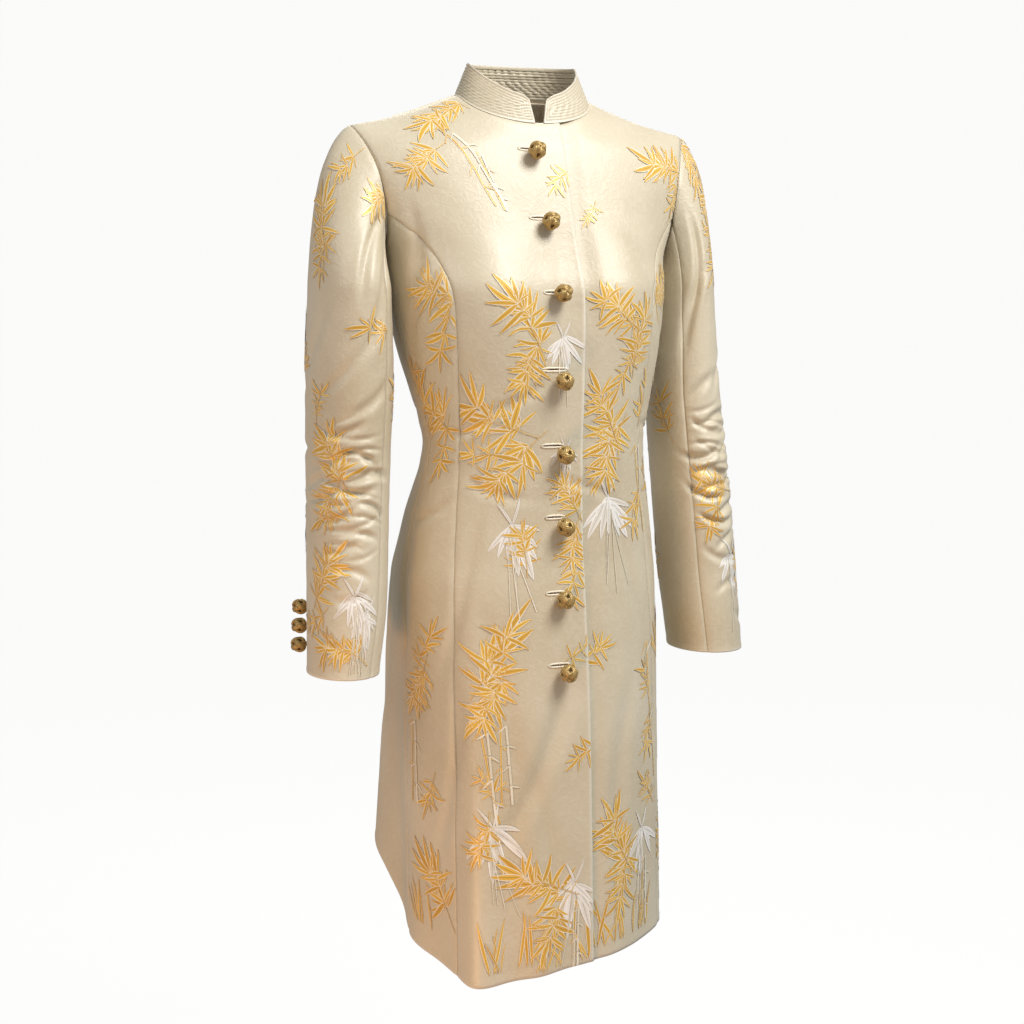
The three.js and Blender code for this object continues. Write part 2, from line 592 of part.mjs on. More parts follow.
// Whole sleeve as a closed grid: from the front seam over the arm to the back seam, then under it.
// Each row runs once round; the cuff is the first row and the armhole the last.
function sleeveGrid(side) {
  const ring = armholeRing(side)
  const arm = side > 0 ? SLEEVE.left : SLEEVE.right
  const capEnd = arm[0].z
  const cuff = arm[arm.length - 1].z
  const count = ring.length - 1
  const gap = (i, turnAngle) => Math.abs(ring[i].turn - turnAngle)
  const nearest = (turnAngle) => ring.reduce((best, _, i) => (gap(i, turnAngle) < gap(best, turnAngle) ? i : best), 0)
  const front = nearest(SLEEVE_SEAM.frontTop)
  const back = nearest(360 + SLEEVE_SEAM.backTop)
  const topCount = front + count - back
  const order = steps(count, 0, count).map((k) => (front - k + count) % count)
  const frontTurn = ring[front].turn
  const backTurn = ring[back].turn - 360
  // Turn of a column: from the front seam (positive) through 0 to the back seam, then on round.
  const turnAtTop = order.map((i, k) => {
    if (k === 0) return frontTurn
    if (k === count) return frontTurn - 360
    return i > front || k > topCount ? ring[i].turn - 360 : ring[i].turn
  })
  const turnAt = (k, z) => {
    const t = (capEnd - z) / (capEnd - cuff)
    const f = mix(frontTurn, SLEEVE_SEAM.frontCuff, t)
    const b = mix(backTurn, SLEEVE_SEAM.backCuff, t)
    if (k <= topCount) return mix(b, f, (turnAtTop[k] - backTurn) / (frontTurn - backTurn))
    return mix(b, f - 360, (backTurn - turnAtTop[k]) / (backTurn - frontTurn + 360))
  }
  const capPoint = (k, v) => {
    const { point: seam, normal, turn: ringTurn } = ring[order[k]]
    const under = clamp(-Math.cos(degrees(ringTurn)) * UNDERARM_REACH, 0, 1)
    const start = seam.clone().addScaledVector(normal, UNDERARM_STEP * under)
    const end = sleeveSection(side, turnAt(k, capEnd), capEnd)
    const reach = start.distanceTo(end)
    const slope = degrees(mix(CAP_SLOPE.top, CAP_SLOPE.underarm, (1 - Math.cos(degrees(ringTurn))) / 2))
    const lean = -CAP_FRONT_LEAN * Math.sin(degrees(ringTurn))
    const leave = new THREE.Vector3(side * Math.cos(slope), lean, -Math.sin(slope)).setLength(CAP_PULL.start * reach)
    const below = sleeveSection(side, turnAt(k, capEnd - CAP_LOOK), capEnd - CAP_LOOK)
    const arrive = below.sub(end).setLength(CAP_PULL.end * reach)
    const point = start.multiplyScalar((1 + 2 * v) * (1 - v) ** 2)
    point.addScaledVector(leave, v * (1 - v) ** 2)
    point.addScaledVector(end, v * v * (3 - 2 * v))
    return point.addScaledVector(arrive, v * v * (v - 1))
  }
  const arms = steps(SLEEVE_ROWS.arm, cuff, capEnd).map((z) => order.map((_, k) => sleeveSection(side, turnAt(k, z), z)))
  const cap = steps(SLEEVE_ROWS.cap, 1, 0).slice(1).map((v) => order.map((_, k) => capPoint(k, v)))
  const points = [...arms, ...cap]
  const normals = points.map((row, j) =>
    row.map((_, k) => {
      const before = points[j][k === 0 ? count - 1 : k - 1]
      const after = points[j][k === count ? 1 : k + 1]
      const up = points[Math.min(j + 1, points.length - 1)][k].clone().sub(points[Math.max(j - 1, 0)][k])
      return after.clone().sub(before).cross(up).multiplyScalar(side).normalize()
    }),
  )
  normals[normals.length - 1] = order.map((i) => ring[i].normal)
  return { points, normals, topCount }
}

function sleevePanel(side, isTop) {
  const { points, normals, topCount } = sleeveGrid(side)
  const take = (row) => {
    const part = isTop ? row.slice(0, topCount + 1) : row.slice(topCount)
    return side < 0 ? part.reverse() : part
  }
  const panel = points.map(take)
  const seams = insetBorder(panel, { left: true, right: true }, SLEEVE_INSET.side)
  const clear = insetBorder(seams, { top: true }, SLEEVE_INSET.top)
  return wallFromGrid(clear, normals.map(take), WALL)
}

// Knot button: a ball on a short shank, turned about the way it points.
function button(seat, direction, radius, shankLength) {
  const profile = [new THREE.Vector2(0, 0), new THREE.Vector2(SHANK.radius, 0)]
  const start = Math.asin(SHANK.radius / radius)
  const centre = shankLength + radius * Math.cos(start)
  for (const a of steps(BALL_RINGS, start, Math.PI)) {
    const across = a > Math.PI - start / BALL_RINGS ? 0 : radius * Math.sin(a)
    profile.push(new THREE.Vector2(across, centre - radius * Math.cos(a)))
  }
  const geometry = new THREE.LatheGeometry(profile, BALL_SIDES)
  geometry.applyQuaternion(new THREE.Quaternion().setFromUnitVectors(new THREE.Vector3(0, 1, 0), direction))
  geometry.translate(seat.x, seat.y, seat.z)
  geometry.deleteAttribute('uv')
  geometry.deleteAttribute('normal')
  return mergeVertices(geometry, MERGE_DISTANCE)
}

function frontButton({ x, z, lean, hangs }) {
  const angle = angleAt(x, z)
  const normal = bodyNormal(angle, z)
  const slope = degrees(hangs ? HANG_SLOPE : 0)
  const seat = bodyPoint(angle, z).addScaledVector(normal, SEAT_GAP + SHANK.radius * Math.sin(slope))
  const down = new THREE.Vector3(Math.sin(degrees(lean)), 0, -Math.cos(degrees(lean)))
  down.addScaledVector(normal, -down.dot(normal)).normalize()
  const direction = normal.clone().multiplyScalar(Math.cos(slope)).addScaledVector(down, Math.sin(slope))
  return button(seat, direction.normalize(), BUTTON_RADIUS, hangs ? SHANK.hanging : SHANK.standing)
}

function cuffButton(side, z) {
  const arm = side > 0 ? SLEEVE.left : SLEEVE.right
  const part = (arm[0].z - z) / (arm[0].z - arm[arm.length - 1].z)
  const turnAngle = mix(SLEEVE_SEAM.backTop, SLEEVE_SEAM.backCuff, part) + CUFF_BUTTON_TURN
  const seat = sleeveSection(side, turnAngle, z)
  const centre = new THREE.Vector3(side * read(arm, 'z', z, 'x'), read(arm, 'z', z, 'y'), z)
  const direction = seat.clone().sub(centre).normalize()
  return button(seat.addScaledVector(direction, SEAT_GAP), direction, CUFF_BUTTON_RADIUS, SHANK.standing)
}

const satin = new THREE.MeshStandardMaterial({ color: 0xdccfb4, roughness: 0.42, metalness: 0 })
const facing = new THREE.MeshStandardMaterial({ color: 0xcdb892, roughness: 0.6, metalness: 0 })
const gold = new THREE.MeshStandardMaterial({ color: 0xa8823c, roughness: 0.5, metalness: 0.35 })

const jacket = new THREE.Group()

function add(name, geometry, material) {
  const mesh = new THREE.Mesh(geometry, material)
  mesh.name = name
  jacket.add(mesh)
}

for (const [word, side] of [['right', -1], ['left', 1]]) {
  add(`front_${word}`, frontPanel(side), satin)
  add(`side_front_${word}`, sideFrontPanel(side), satin)
  add(`back_${word}`, backPanel(side), satin)
  add(`sleeve_top_${word}`, sleevePanel(side, true), satin)
  add(`sleeve_under_${word}`, sleevePanel(side, false), satin)
  CUFF_BUTTON_HEIGHTS.forEach((z, k) => add(`cuff_button_${word}_${k + 1}`, cuffButton(side, z), gold))
}
add('collar', collar(), satin)
add('neck_facing', neckFacing(), facing)
BUTTONS.forEach((row, k) => add(`button_${k + 1}`, frontButton(row), gold))

export default jacket
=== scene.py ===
"""Long fitted brocade jacket, worn and hollow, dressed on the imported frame.

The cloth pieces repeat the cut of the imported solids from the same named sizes, on finer grids,
with soft creases, turned edges, seams, woven bamboo, buttonholes and corded knot buttons.
Sizes are in millimetres until a mesh is made; +Z is up, +X is the wearer's left, the front faces -Y.
"""

import math
from itertools import accumulate

import bmesh
import bpy
import numpy as np
from bpy.props import FloatProperty, FloatVectorProperty, PointerProperty
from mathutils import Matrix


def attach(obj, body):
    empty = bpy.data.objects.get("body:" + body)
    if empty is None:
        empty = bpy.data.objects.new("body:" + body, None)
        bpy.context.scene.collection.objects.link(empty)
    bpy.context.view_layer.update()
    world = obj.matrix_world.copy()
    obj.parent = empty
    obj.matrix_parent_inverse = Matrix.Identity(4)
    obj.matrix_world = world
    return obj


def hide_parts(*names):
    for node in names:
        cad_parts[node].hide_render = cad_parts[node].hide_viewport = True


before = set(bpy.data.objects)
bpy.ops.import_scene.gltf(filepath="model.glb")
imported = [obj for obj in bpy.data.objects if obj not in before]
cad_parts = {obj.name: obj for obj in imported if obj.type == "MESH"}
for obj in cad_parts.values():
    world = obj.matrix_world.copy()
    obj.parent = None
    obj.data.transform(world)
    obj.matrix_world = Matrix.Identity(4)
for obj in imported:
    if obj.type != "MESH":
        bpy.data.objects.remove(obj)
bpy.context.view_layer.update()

bl_info = {
    "name": "Long Brocade Jacket",
    "version": (1, 0, 0),
    "blender": (4, 5, 0),
    "location": "View3D > Sidebar > Jacket",
    "description": "Builds a long fitted brocade jacket with a stand collar and knot buttons",
    "category": "Add Mesh",
}

MM = 0.001

# Cloth and seams: the solids' wall, what the dressed cloth adds, and how thick collar and facing are
WALL = 2.0
SEAM = {"sink": 0.9, "width": 3.2}
# Free edges roll out in a bead; pale is the width of the painted highlight along them
EDGE_BEAD_AND_HIGHLIGHT = {"push": 0.5, "at": 2.5, "width": 3, "pale": 2.0}
RIPPLE = {"body": 0.35, "sleeve": 0.3, "waves": 9, "shortest": 24, "longest": 70}
RIPPLE_SEED = {"front": 11, "side_front": 21, "back": 31, "sleeve": 41}
OTHER_CLOTH = {"collar": 2.2, "facing": 0.9}

# Shoulders and neck
SHOULDER_TIP = {"x": 189, "z": -18}
NECK_SIDE = {"x": 73, "z": 16}
SHOULDER_Y = 16
SHOULDER_SAG = 4
NECK_RISE_PER_MM = 0.53
NECK_FRONT_Z = -14.5
NECK_BACK_Z = 20
SHOULDER_ROUND = {"front": 62, "back": 70}

# Fronts: the right one laps over the left one
LAP = 22.5
LAP_BLEND = {"from": 26, "to": 46}
LAP_DIP = 2.5

# Rows and columns of the panels, shared along the seams
ROWS = {"to_armhole": 21, "armhole": 8}
ROW_EASE = 1.6
EDGE_BEND_Z = {"front": -118, "back": -140}
NECK_COLUMNS = 5
SHOULDER_COLUMNS = 6
SIDE_COLUMNS = 7

# Horizontal sections of the body: height, half width, front, back and widest point
BODY = {
    "z": [-960, -880, -720, -630, -560, -491, -465, -425, -396, -368, -346,
          -324, -288, -241, -190, -155, -116, -72, -40, -14, 24, 44],
    "half": [144, 143.5, 143.5, 143.5, 144, 143, 140, 134, 127.5, 122, 120.5,
             124, 133, 144, 152, 156, 171, 188, 198, 206, 214, 217],
    "front": [-147, -143, -136, -131, -124, -115, -111, -108, -107, -107, -107,
              -108, -110, -110, -107, -94, -81, -67, -55, -42, -30, -26],
    "back": [148, 144, 137, 133, 130, 122, 112, 93, 77, 61, 54,
             56, 67, 85, 100, 105, 104, 100, 92, 82, 70, 66],
    "side": [8, 6, 4, 3, 3, 2, -1, -8, -15, -23, -27,
             -26, -18, -8, 2, 8, 11, 14, 16, 17, 18, 18],
}
PLAN_EXPONENT = 2.3
BUST = {"push": 16, "z": -182, "above": 60, "below": 80, "x": 80, "width": 50}
BLADE = {"push": 8, "z": -110, "height": 70, "x": 75, "width": 55}

# Skirt folds: angle from the front towards the wearer's left, width, push at the hem, and the power
# with which the push grows downwards
FOLDS = {
    "angle": [-38, -64, -96, -124, -150, -12, 52, 80, 120, 150],
    "width": [9, 14, 10, 15, 12, 7, 12, 14, 16, 12],
    "push": [15, -7, -11, 29, -9, 4, 6, -5, 12, -6],
    "power": [1.7, 1.4, 1.2, 1.0, 1.3, 1.5, 1.5, 1.5, 1.3, 1.3],
}
FOLD_START = -430
FOLD_END = -880
HEM = {
    "angle": [-180, -150, -126, -112, -92, -66, -38, -18, 0, 34, 70, 110, 150, 180],
    "z": [-842, -824, -798, -820, -872, -893, -905, -898, -890, -880, -866, -850, -843, -842],
}
HEM_MIDDLE_Z = -880

# Armhole and princess seam, as distances from the centre line
ARMHOLE = {"z": [-155, -148, -128, -104, -72, -42, -18], "x": [155.6, 158.6, 160.6, 163, 168.5, 178, 189]}
PRINCESS_TOP_Z = -110
PRINCESS = {
    "z": [-960, -720, -560, -450, -346, -260, -190, -160, -140, -124, -110],
    "x": [114, 114, 113, 108, 102, 107, 113, 121, 132, 146, 162.4],
}
SIDE_SEAM_ANGLE = 86

# Collar: top edge against the neck seam
COLLAR_TOP = {"half": 60, "front": -37, "back": 51, "front_z": 14, "side_z": 49, "back_z": 53, "fall": 1.3}
COLLAR_MIDDLE_Y = 9
COLLAR_OPEN_TURN = 40
COLLAR_GAP = {"bottom": 4.5, "top": 10.5}
COLLAR_CORNER_DROP = 5
COLLAR_LIFT = -0.9
COLLAR_GRID = (45, 300)
COLLAR_ROWS = {"from": 1.6, "pitch": 3.0, "depth": 0.5, "width": 0.7}
COLLAR_QUILT = {"push": 0.22, "pitch": 9, "wander": 1.7}
# The collar's edges roll out in a bead; pale is the width of the painted highlight along them
COLLAR_BEAD_AND_HIGHLIGHT = {"push": 0.35, "at": 0.6, "width": 0.9, "pale": 1.3}
FACING = {"from": 108, "depth": 38, "fall": 0.7, "below": 0.5, "gap": 1.5}
FACING_GRID = (26, 90)

# Arms: sections along each sleeve below the cap
SLEEVE = {
    -1: {
        "z": [-187, -280, -345, -406, -511, -581],
        "x": [197, 198.5, 200, 202, 207, 215],
        "y": [-7, -8, -7, -9, -19, -30],
        "half": [40.5, 44, 43, 42, 40.5, 36.5],
        "depth": [67, 63, 60, 58, 55, 48],
    },
    1: {
        "z": [-187, -280, -345, -406, -483, -548, -582],
        "x": [187, 187, 191, 195.5, 200.5, 202.5, 204],
        "y": [6, -2, -7, -11, -16, -28, -34],
        "half": [31.5, 36.5, 39.5, 40.5, 41, 40, 39],
        "depth": [59, 57, 56, 56, 54, 52, 50],
    },
}
CAP_SLOPE = {"top": 37, "underarm": 82}
CAP_PULL = {"start": 0.85, "end": 0.8}
CAP_FRONT_LEAN = 0.12
CAP_LOOK = 20
UNDERARM_STEP = 0.3
UNDERARM_REACH = 1.5
NECK_REACH = 4
SLEEVE_SEAM = {"front_top": 128, "front_cuff": 118, "back_top": -84, "back_cuff": -34}

# Buttons: height, distance from the centre line, lean, and whether each hangs from its hole
BUTTONS = {
    "z": [-49, -121, -191, -271, -346, -421, -497, -572],
    "x": [-13, -8, -6, 0, 0, 0, 0, 0],
    "lean": [0, 0, 0, -26, -8, -8, -30, -34],
    "hangs": [False, False, False, True, True, True, True, True],
}
BUTTON_RADIUS = 9.6
SHANK = {"radius": 2, "standing": 1.2, "hanging": 3.6}
HANG_SLOPE = 41
KNOT = {"turns": 3, "swings": 4, "swing": 66, "weave": 0.7, "clear": 0.35, "core_below": 0.15}
LOOP = {"half_width": 2.0, "cord": 0.9, "from_knot": 0.8, "off_seat": 0.2}
SEAT_GAP = 0.7
CUFF_BUTTON_RADIUS = 8.6
CUFF_BUTTON_HEIGHTS = (-519, -538, -557)
CUFF_BUTTON_TURN = 4

# Buttonholes in the right front: height and the two ends
HOLES = {
    "z": [-43, -115, -188, -269, -346, -421, -497, -571],
    "from": [-30, -26, -23, -25, -22, -18.5, -21, -21],
    "to": [-7, -3, 0, 1.7, 0.5, 0.5, 0.5, 1],
}
HOLE_RIM = {"past_ends": 0.8, "half_height": 1.7, "stitches": 84, "bead": 1.0, "wave": 0.14, "corner": 0.55}
HOLE_LIFT = {"rim": 0.35, "bead": 0.62, "slot": 0.34}
PUCKER = {"push": 0.5, "waves": 3, "rise": 12, "fade": 13}

# Creases of the body, a row each: angle and height of the middle, tilt from level,
# half length, half width, depth and bend. Positive depth is a trough.
BODY_CREASES = [
    (-58, -150, 62, 46, 9, 1.6, 0.003),
    (-66, -205, 48, 38, 8, 1.3, -0.004),
    (-48, -330, 12, 34, 6, 1.2, 0.004),
    (-30, -395, -14, 40, 7, 1.0, 0.003),
    (38, -165, -58, 44, 9, 1.4, -0.003),
    (55, -215, -46, 36, 8, 1.2, 0.004),
    (64, -330, -10, 30, 6, 1.1, -0.005),
    (-20, -300, 24, 34, 7, 0.9, 0.002),
    (14, -392, -20, 30, 6, 1.0, -0.003),
    (-70, -420, 20, 36, 7, 1.3, 0.004),
    (-44, -505, 74, 80, 12, 1.4, 0.001),
    (30, -470, 100, 74, 11, 1.1, -0.001),
    (58, -450, 104, 60, 10, 1.2, 0.001),
    (-84, -520, 84, 90, 13, 1.6, 0.001),
    (84, -500, 96, 90, 12, 1.4, -0.001),
    (-10, -675, 69, 95, 12, 2.0, 0.001),
    (-26, -600, 100, 90, 13, 1.0, 0.0005),
    (20, -700, 84, 96, 14, 1.2, -0.001),
    (-120, -330, 14, 44, 7, 1.3, 0.004),
    (-150, -250, 55, 60, 12, 1.5, 0.002),
    (120, -320, -14, 46, 7, 1.2, -0.004),
    (150, -260, -52, 56, 12, 1.4, -0.002),
    (-135, -420, 10, 50, 8, 1.5, 0.003),
    (165, -350, -8, 40, 7, 1.1, 0.004),
    (-165, -380, 12, 42, 7, 1.2, -0.004),
    (140, -450, -12, 48, 8, 1.3, -0.003),
    (-110, -560, 80, 96, 14, 1.6, 0.001),
    (105, -540, 98, 90, 14, 1.4, -0.001),
    (178, -620, 88, 120, 17, 1.8, 0.0005),
    (-52, -700, 78, 90, 12, 1.3, 0.001),
    (46, -620, 100, 84, 12, 1.1, -0.001),
    (-8, -760, 96, 70, 13, 1.0, 0.001),
]
BODY_MM_PER_DEGREE = 2.35
CREASE_DEPTH = {"body": 2.0, "sleeve": 2.0}

# Creases of the sleeves, a row each: turn round the arm, height and the same values
SLEEVE_CREASES = {
    -1: [
        (60, -330, 10, 26, 6, 2.0, 0.008),
        (84, -352, -16, 24, 5, 2.2, -0.01),
        (40, -362, 22, 22, 5, 1.8, 0.01),
        (96, -374, 8, 28, 6, 2.4, -0.008),
        (70, -390, -12, 30, 6.5, 2.6, 0.009),
        (30, -398, 18, 24, 5, 2.0, 0.01),
        (104, -404, -22, 20, 5, 2.0, -0.012),
        (52, -418, 14, 26, 5.5, 2.2, 0.01),
        (88, -432, -8, 22, 5, 1.8, -0.008),
        (20, -380, 30, 26, 6, 1.4, 0.008),
        (-20, -350, 20, 24, 7, 1.2, 0.006),
        (-40, -400, -14, 26, 7, 1.3, -0.006),
        (62, -450, 18, 24, 6, 1.5, 0.008),
        (78, -470, -14, 22, 6, 1.3, -0.008),
        (100, -300, 34, 30, 8, 1.5, 0.004),
        (48, -280, 40, 34, 8, 1.3, 0.003),
        (112, -210, 70, 48, 9, 2.4, 0.003),
        (90, -150, 76, 42, 8, 2.2, -0.002),
        (8, -250, 60, 46, 10, 1.3, 0.002),
        (-60, -330, 18, 30, 8, 1.2, 0.005),
        (76, -500, 12, 20, 6, 1.0, 0.008),
        (36, -540, -30, 26, 7, 0.9, 0.004),
        (70, -336, -4, 34, 3.6, 1.0, 0.004),
        (84, -347, 6, 28, 3.2, 1.2, -0.006),
        (58, -357, -10, 36, 3.8, 0.9, 0.005),
        (92, -369, 3, 26, 3.3, 1.3, -0.004),
        (66, -379, 8, 38, 4.0, 1.1, 0.006),
        (80, -391, -7, 30, 3.3, 1.2, -0.005),
        (54, -403, 5, 32, 3.7, 1.0, 0.007),
        (96, -416, -12, 24, 3.2, 1.1, -0.006),
        (74, -427, 9, 34, 3.8, 1.2, 0.004),
        (62, -443, -5, 26, 3.5, 0.8, -0.005),
        (88, -458, 12, 22, 3.6, 0.7, 0.006),
        (46, -322, 14, 24, 3.9, 0.7, 0.005),
    ],
    1: [
        (66, -322, -12, 28, 6, 2.1, -0.008),
        (90, -338, 14, 22, 5, 1.9, 0.01),
        (44, -356, -20, 24, 5.5, 2.0, -0.01),
        (100, -368, -8, 26, 6, 2.5, 0.008),
        (74, -384, 14, 30, 6, 2.4, -0.009),
        (34, -392, -18, 22, 5, 1.9, -0.01),
        (108, -410, 20, 22, 5, 2.1, 0.012),
        (56, -422, -14, 24, 6, 2.0, -0.01),
        (84, -440, 10, 24, 5, 1.9, 0.008),
        (24, -372, -28, 28, 6, 1.3, -0.008),
        (-24, -356, -18, 24, 7, 1.3, -0.006),
        (-44, -408, 12, 24, 7, 1.2, 0.006),
        (66, -458, -16, 22, 6, 1.4, -0.008),
        (82, -480, 14, 24, 6, 1.4, 0.008),
        (98, -292, -36, 32, 8, 1.4, -0.004),
        (44, -270, -40, 36, 8, 1.3, -0.003),
        (110, -205, -68, 46, 9, 2.2, -0.003),
        (92, -156, -76, 44, 8, 2.3, 0.002),
        (4, -240, -58, 44, 10, 1.2, -0.002),
        (-62, -338, -20, 28, 8, 1.3, -0.005),
        (70, -506, -12, 22, 6, 1.1, -0.008),
        (40, -548, 28, 24, 7, 0.9, -0.004),
        (76, -330, 5, 32, 3.5, 1.1, -0.005),
        (62, -343, -8, 36, 3.9, 1.0, 0.004),
        (90, -352, 4, 24, 3.2, 1.2, -0.006),
        (68, -364, 10, 38, 3.8, 1.0, 0.006),
        (84, -377, -6, 28, 3.4, 1.3, -0.004),
        (56, -386, 8, 34, 3.6, 0.9, 0.005),
        (78, -398, -4, 36, 3.9, 1.2, -0.006),
        (94, -411, 12, 24, 3.2, 1.1, 0.007),
        (60, -424, -9, 30, 3.7, 0.9, -0.004),
        (82, -438, 6, 26, 3.4, 1.0, 0.005),
        (50, -452, -14, 24, 3.6, 0.7, -0.006),
        (92, -316, -12, 22, 3.8, 0.8, 0.004),
    ],
}
ARM_MM_PER_DEGREE = 0.86


# Shared mathematics
def read(rows, key, at, column):
    """Smooth curve through one column of a table: monotone cubic pieces, with no overshoot between rows."""
    order = slice(None) if rows[key][0] < rows[key][-1] else slice(None, None, -1)
    x = np.asarray(rows[key], float)[order]
    y = np.asarray(rows[column], float)[order]
    h = np.diff(x)
    rise = np.diff(y) / h
    slope = np.empty_like(x)
    slope[0] = rise[0]
    slope[-1] = rise[-1]
    before = rise[:-1]
    after = rise[1:]
    turns_back = before * after <= 0
    before = np.where(turns_back, 1, before)
    after = np.where(turns_back, 1, after)
    mean = 3 * (h[:-1] + h[1:]) / ((2 * h[1:] + h[:-1]) / before + (h[1:] + 2 * h[:-1]) / after)
    slope[1:-1] = np.where(turns_back, 0, mean)
    at = np.clip(at, x[0], x[-1])
    i = np.clip(np.searchsorted(x, at, side="right") - 1, 0, len(x) - 2)
    t = (at - x[i]) / h[i]
    return (
        y[i] * (1 + 2 * t) * (1 - t) ** 2
        + slope[i] * h[i] * t * (1 - t) ** 2
        + y[i + 1] * t * t * (3 - 2 * t)
        + slope[i + 1] * h[i] * t * t * (t - 1)
    )


def mix(a, b, t):
    """Value that runs from a to b as t runs from 0 to 1."""
    return a + (b - a) * t


def bell(x, centre, width):
    """Bell curve: 1 at the centre, falling as exp(-d^2) with d in widths."""
    return np.exp(-(((x - centre) / width) ** 2))


def smooth(t):
    """Soft step: 0 below 0, 1 above 1, and 3t^2 - 2t^3 between."""
    t = np.clip(t, 0, 1)
    return t * t * (3 - 2 * t)


def turned(a):
    """Angle brought into -180 to 180 degrees."""
    return (a + 180) % 360 - 180


def finer(values, parts):
    """List of values with each interval cut into equal parts."""
    values = np.asarray(values, float)
    return np.interp(np.arange((len(values) - 1) * parts + 1) / parts, np.arange(len(values)), values)


def eased(count, start, end):
    """Steps that shorten towards the end, as 1 - (1 - t)^ease, for the tight round under the shoulder."""
    t = np.linspace(0, 1, count + 1)
    return mix(start, end, 1 - (1 - t) ** ROW_EASE)


def unit(v):
    """Vectors of length 1."""
    return v / np.maximum(np.linalg.norm(v, axis=-1, keepdims=True), 1e-9)


def grid_normals(points):
    """Outward normals of a grid: the cross product of its steps across and up."""
    across = np.gradient(points, axis=1)
    up = np.gradient(points, axis=0)
    return unit(np.cross(across, up))


# The body's form
def shoulder_z(x):
    """Height of the shoulder line: straight with a small sine sag, and a ridge running on over the neck."""
    t = (np.abs(x) - NECK_SIDE["x"]) / (SHOULDER_TIP["x"] - NECK_SIDE["x"])
    inside = NECK_SIDE["z"] + NECK_RISE_PER_MM * (NECK_SIDE["x"] - np.abs(x))
    line = mix(NECK_SIDE["z"], SHOULDER_TIP["z"], t)
    line = line - SHOULDER_SAG * np.sin(np.pi * np.clip(t, 0, 1))
    return np.where(t <= 0, inside, line)


def fold_push(angle, z):
    """Push of the skirt folds: a sum of bells round the body, each growing downwards as a power of depth."""
    t = np.clip((FOLD_START - z) / (FOLD_START - FOLD_END), 0, 1.1)
    total = 0.0
    for centre, width, push, power in zip(*(FOLDS[c] for c in ("angle", "width", "push", "power"))):
        total = total + push * t**power * bell(turned(angle - centre), 0, width)
    return total


def body_point(angle, z):
    """Outer face of the body: a superellipse section at each height, with rounds pushed out for bust and
    shoulder blades, skirt folds pushed along the radius, and the top rounded over to the shoulder line."""
    angle, z = np.broadcast_arrays(np.asarray(angle, float), np.asarray(z, float))
    half = read(BODY, "z", z, "half")
    side = read(BODY, "z", z, "side")
    sin = np.sin(np.radians(angle))
    cos = np.cos(np.radians(angle))
    power = 2 / PLAN_EXPONENT
    x = half * np.sign(sin) * np.abs(sin) ** power
    in_front = cos >= 0
    end = np.where(in_front, read(BODY, "z", z, "front"), read(BODY, "z", z, "back"))
    y = side + (end - side) * np.abs(cos) ** power
    height = np.where(z > BUST["z"], BUST["above"], BUST["below"])
    bust = BUST["push"] * bell(z, BUST["z"], height) * bell(np.abs(x), BUST["x"], BUST["width"])
    blade = BLADE["push"] * bell(z, BLADE["z"], BLADE["height"])
    blade = blade * bell(np.abs(x), BLADE["x"], BLADE["width"])
    y = np.where(in_front, y - bust, y + blade)
    push = fold_push(angle, z)
    x = x + push * sin
    y = y - push * cos
    reach = np.where(in_front, SHOULDER_ROUND["front"], SHOULDER_ROUND["back"])
    down = np.clip((shoulder_z(x) - z) / reach, 0, 1)
    y = mix(SHOULDER_Y, y, np.sqrt(1 - (1 - down) ** 2))
    return np.stack([x, y, z], axis=-1)


def angle_at(x, z):
    """Angle of the front point that stands at a distance x from the centre line."""
    part = np.clip(np.abs(x) / read(BODY, "z", z, "half"), 0, 1)
    return np.sign(x) * np.degrees(np.arcsin(part ** (PLAN_EXPONENT / 2)))


def body_normal(angle, z):
    """Outward normal of the body: the cross product of small steps round it and up it."""
    step = 0.6
    angle, z = np.broadcast_arrays(np.asarray(angle, float), np.asarray(z, float))
    across = body_point(angle + step, z) - body_point(angle - step, z)
    up = body_point(angle, z) - body_point(angle, z - 2 * step)
    normal = unit(np.cross(across, up))
    facing = np.where(np.cos(np.radians(angle)) >= 0, -0.5, 0.5)
    outward = np.stack([np.sin(np.radians(angle)), facing, np.full_like(facing, 0.6)], axis=-1)
    normal = normal * np.where(np.sum(normal * outward, axis=-1) < 0, -1, 1)[..., None]
    on_ridge = shoulder_z(body_point(angle, z)[..., 0]) - z < 0.4
    flat = normal * np.array([1, 0, 1])
    return unit(np.where(on_ridge[..., None], flat, normal))


def hem_z(angle):
    """Height of the hem at an angle round the body."""
    return read(HEM, "angle", turned(angle), "z")


def hem_below(x):
    """Hem height straight below a distance from the centre line, found in four steps."""
    z = np.full_like(np.asarray(x, float), HEM_MIDDLE_Z)
    for _ in range(4):
        z = hem_z(angle_at(x, z))
    return z


def neck_seam(turn):
    """Neck seam round the neck, 0 in front, 90 over the shoulder and 180 behind: its x and z."""
    sin = np.sin(np.radians(turn))
    cos = np.cos(np.radians(turn))
    x = NECK_SIDE["x"] * sin
    z = np.where(turn <= 90, mix(NECK_SIDE["z"], NECK_FRONT_Z, cos), mix(NECK_BACK_Z, NECK_SIDE["z"], sin))
    return x, z


LAP_TURN = math.degrees(math.asin(LAP / NECK_SIDE["x"]))
GAP_TURN = LAP_TURN * COLLAR_GAP["bottom"] / LAP


def creases(rows, across, z, mm_per_unit):
    """Depth of the listed creases: each is a trough with low ridges beside it, (1 - 0.9 q^2) exp(-q^2)
    across and exp(-p^4) along, on a line that is tilted and bent."""
    total = np.zeros_like(np.asarray(z, float))
    for centre, height, tilt, length, width, depth, bend in rows:
        du = turned(across - centre) * mm_per_unit
        dv = z - height
        cos = math.cos(math.radians(tilt))
        sin = math.sin(math.radians(tilt))
        p = du * cos + dv * sin
        q = (-du * sin + dv * cos - bend * p * p) / width
        total = total + depth * (1 - 0.9 * q * q) * np.exp(-q * q) * np.exp(-((p / length) ** 4))
    return total


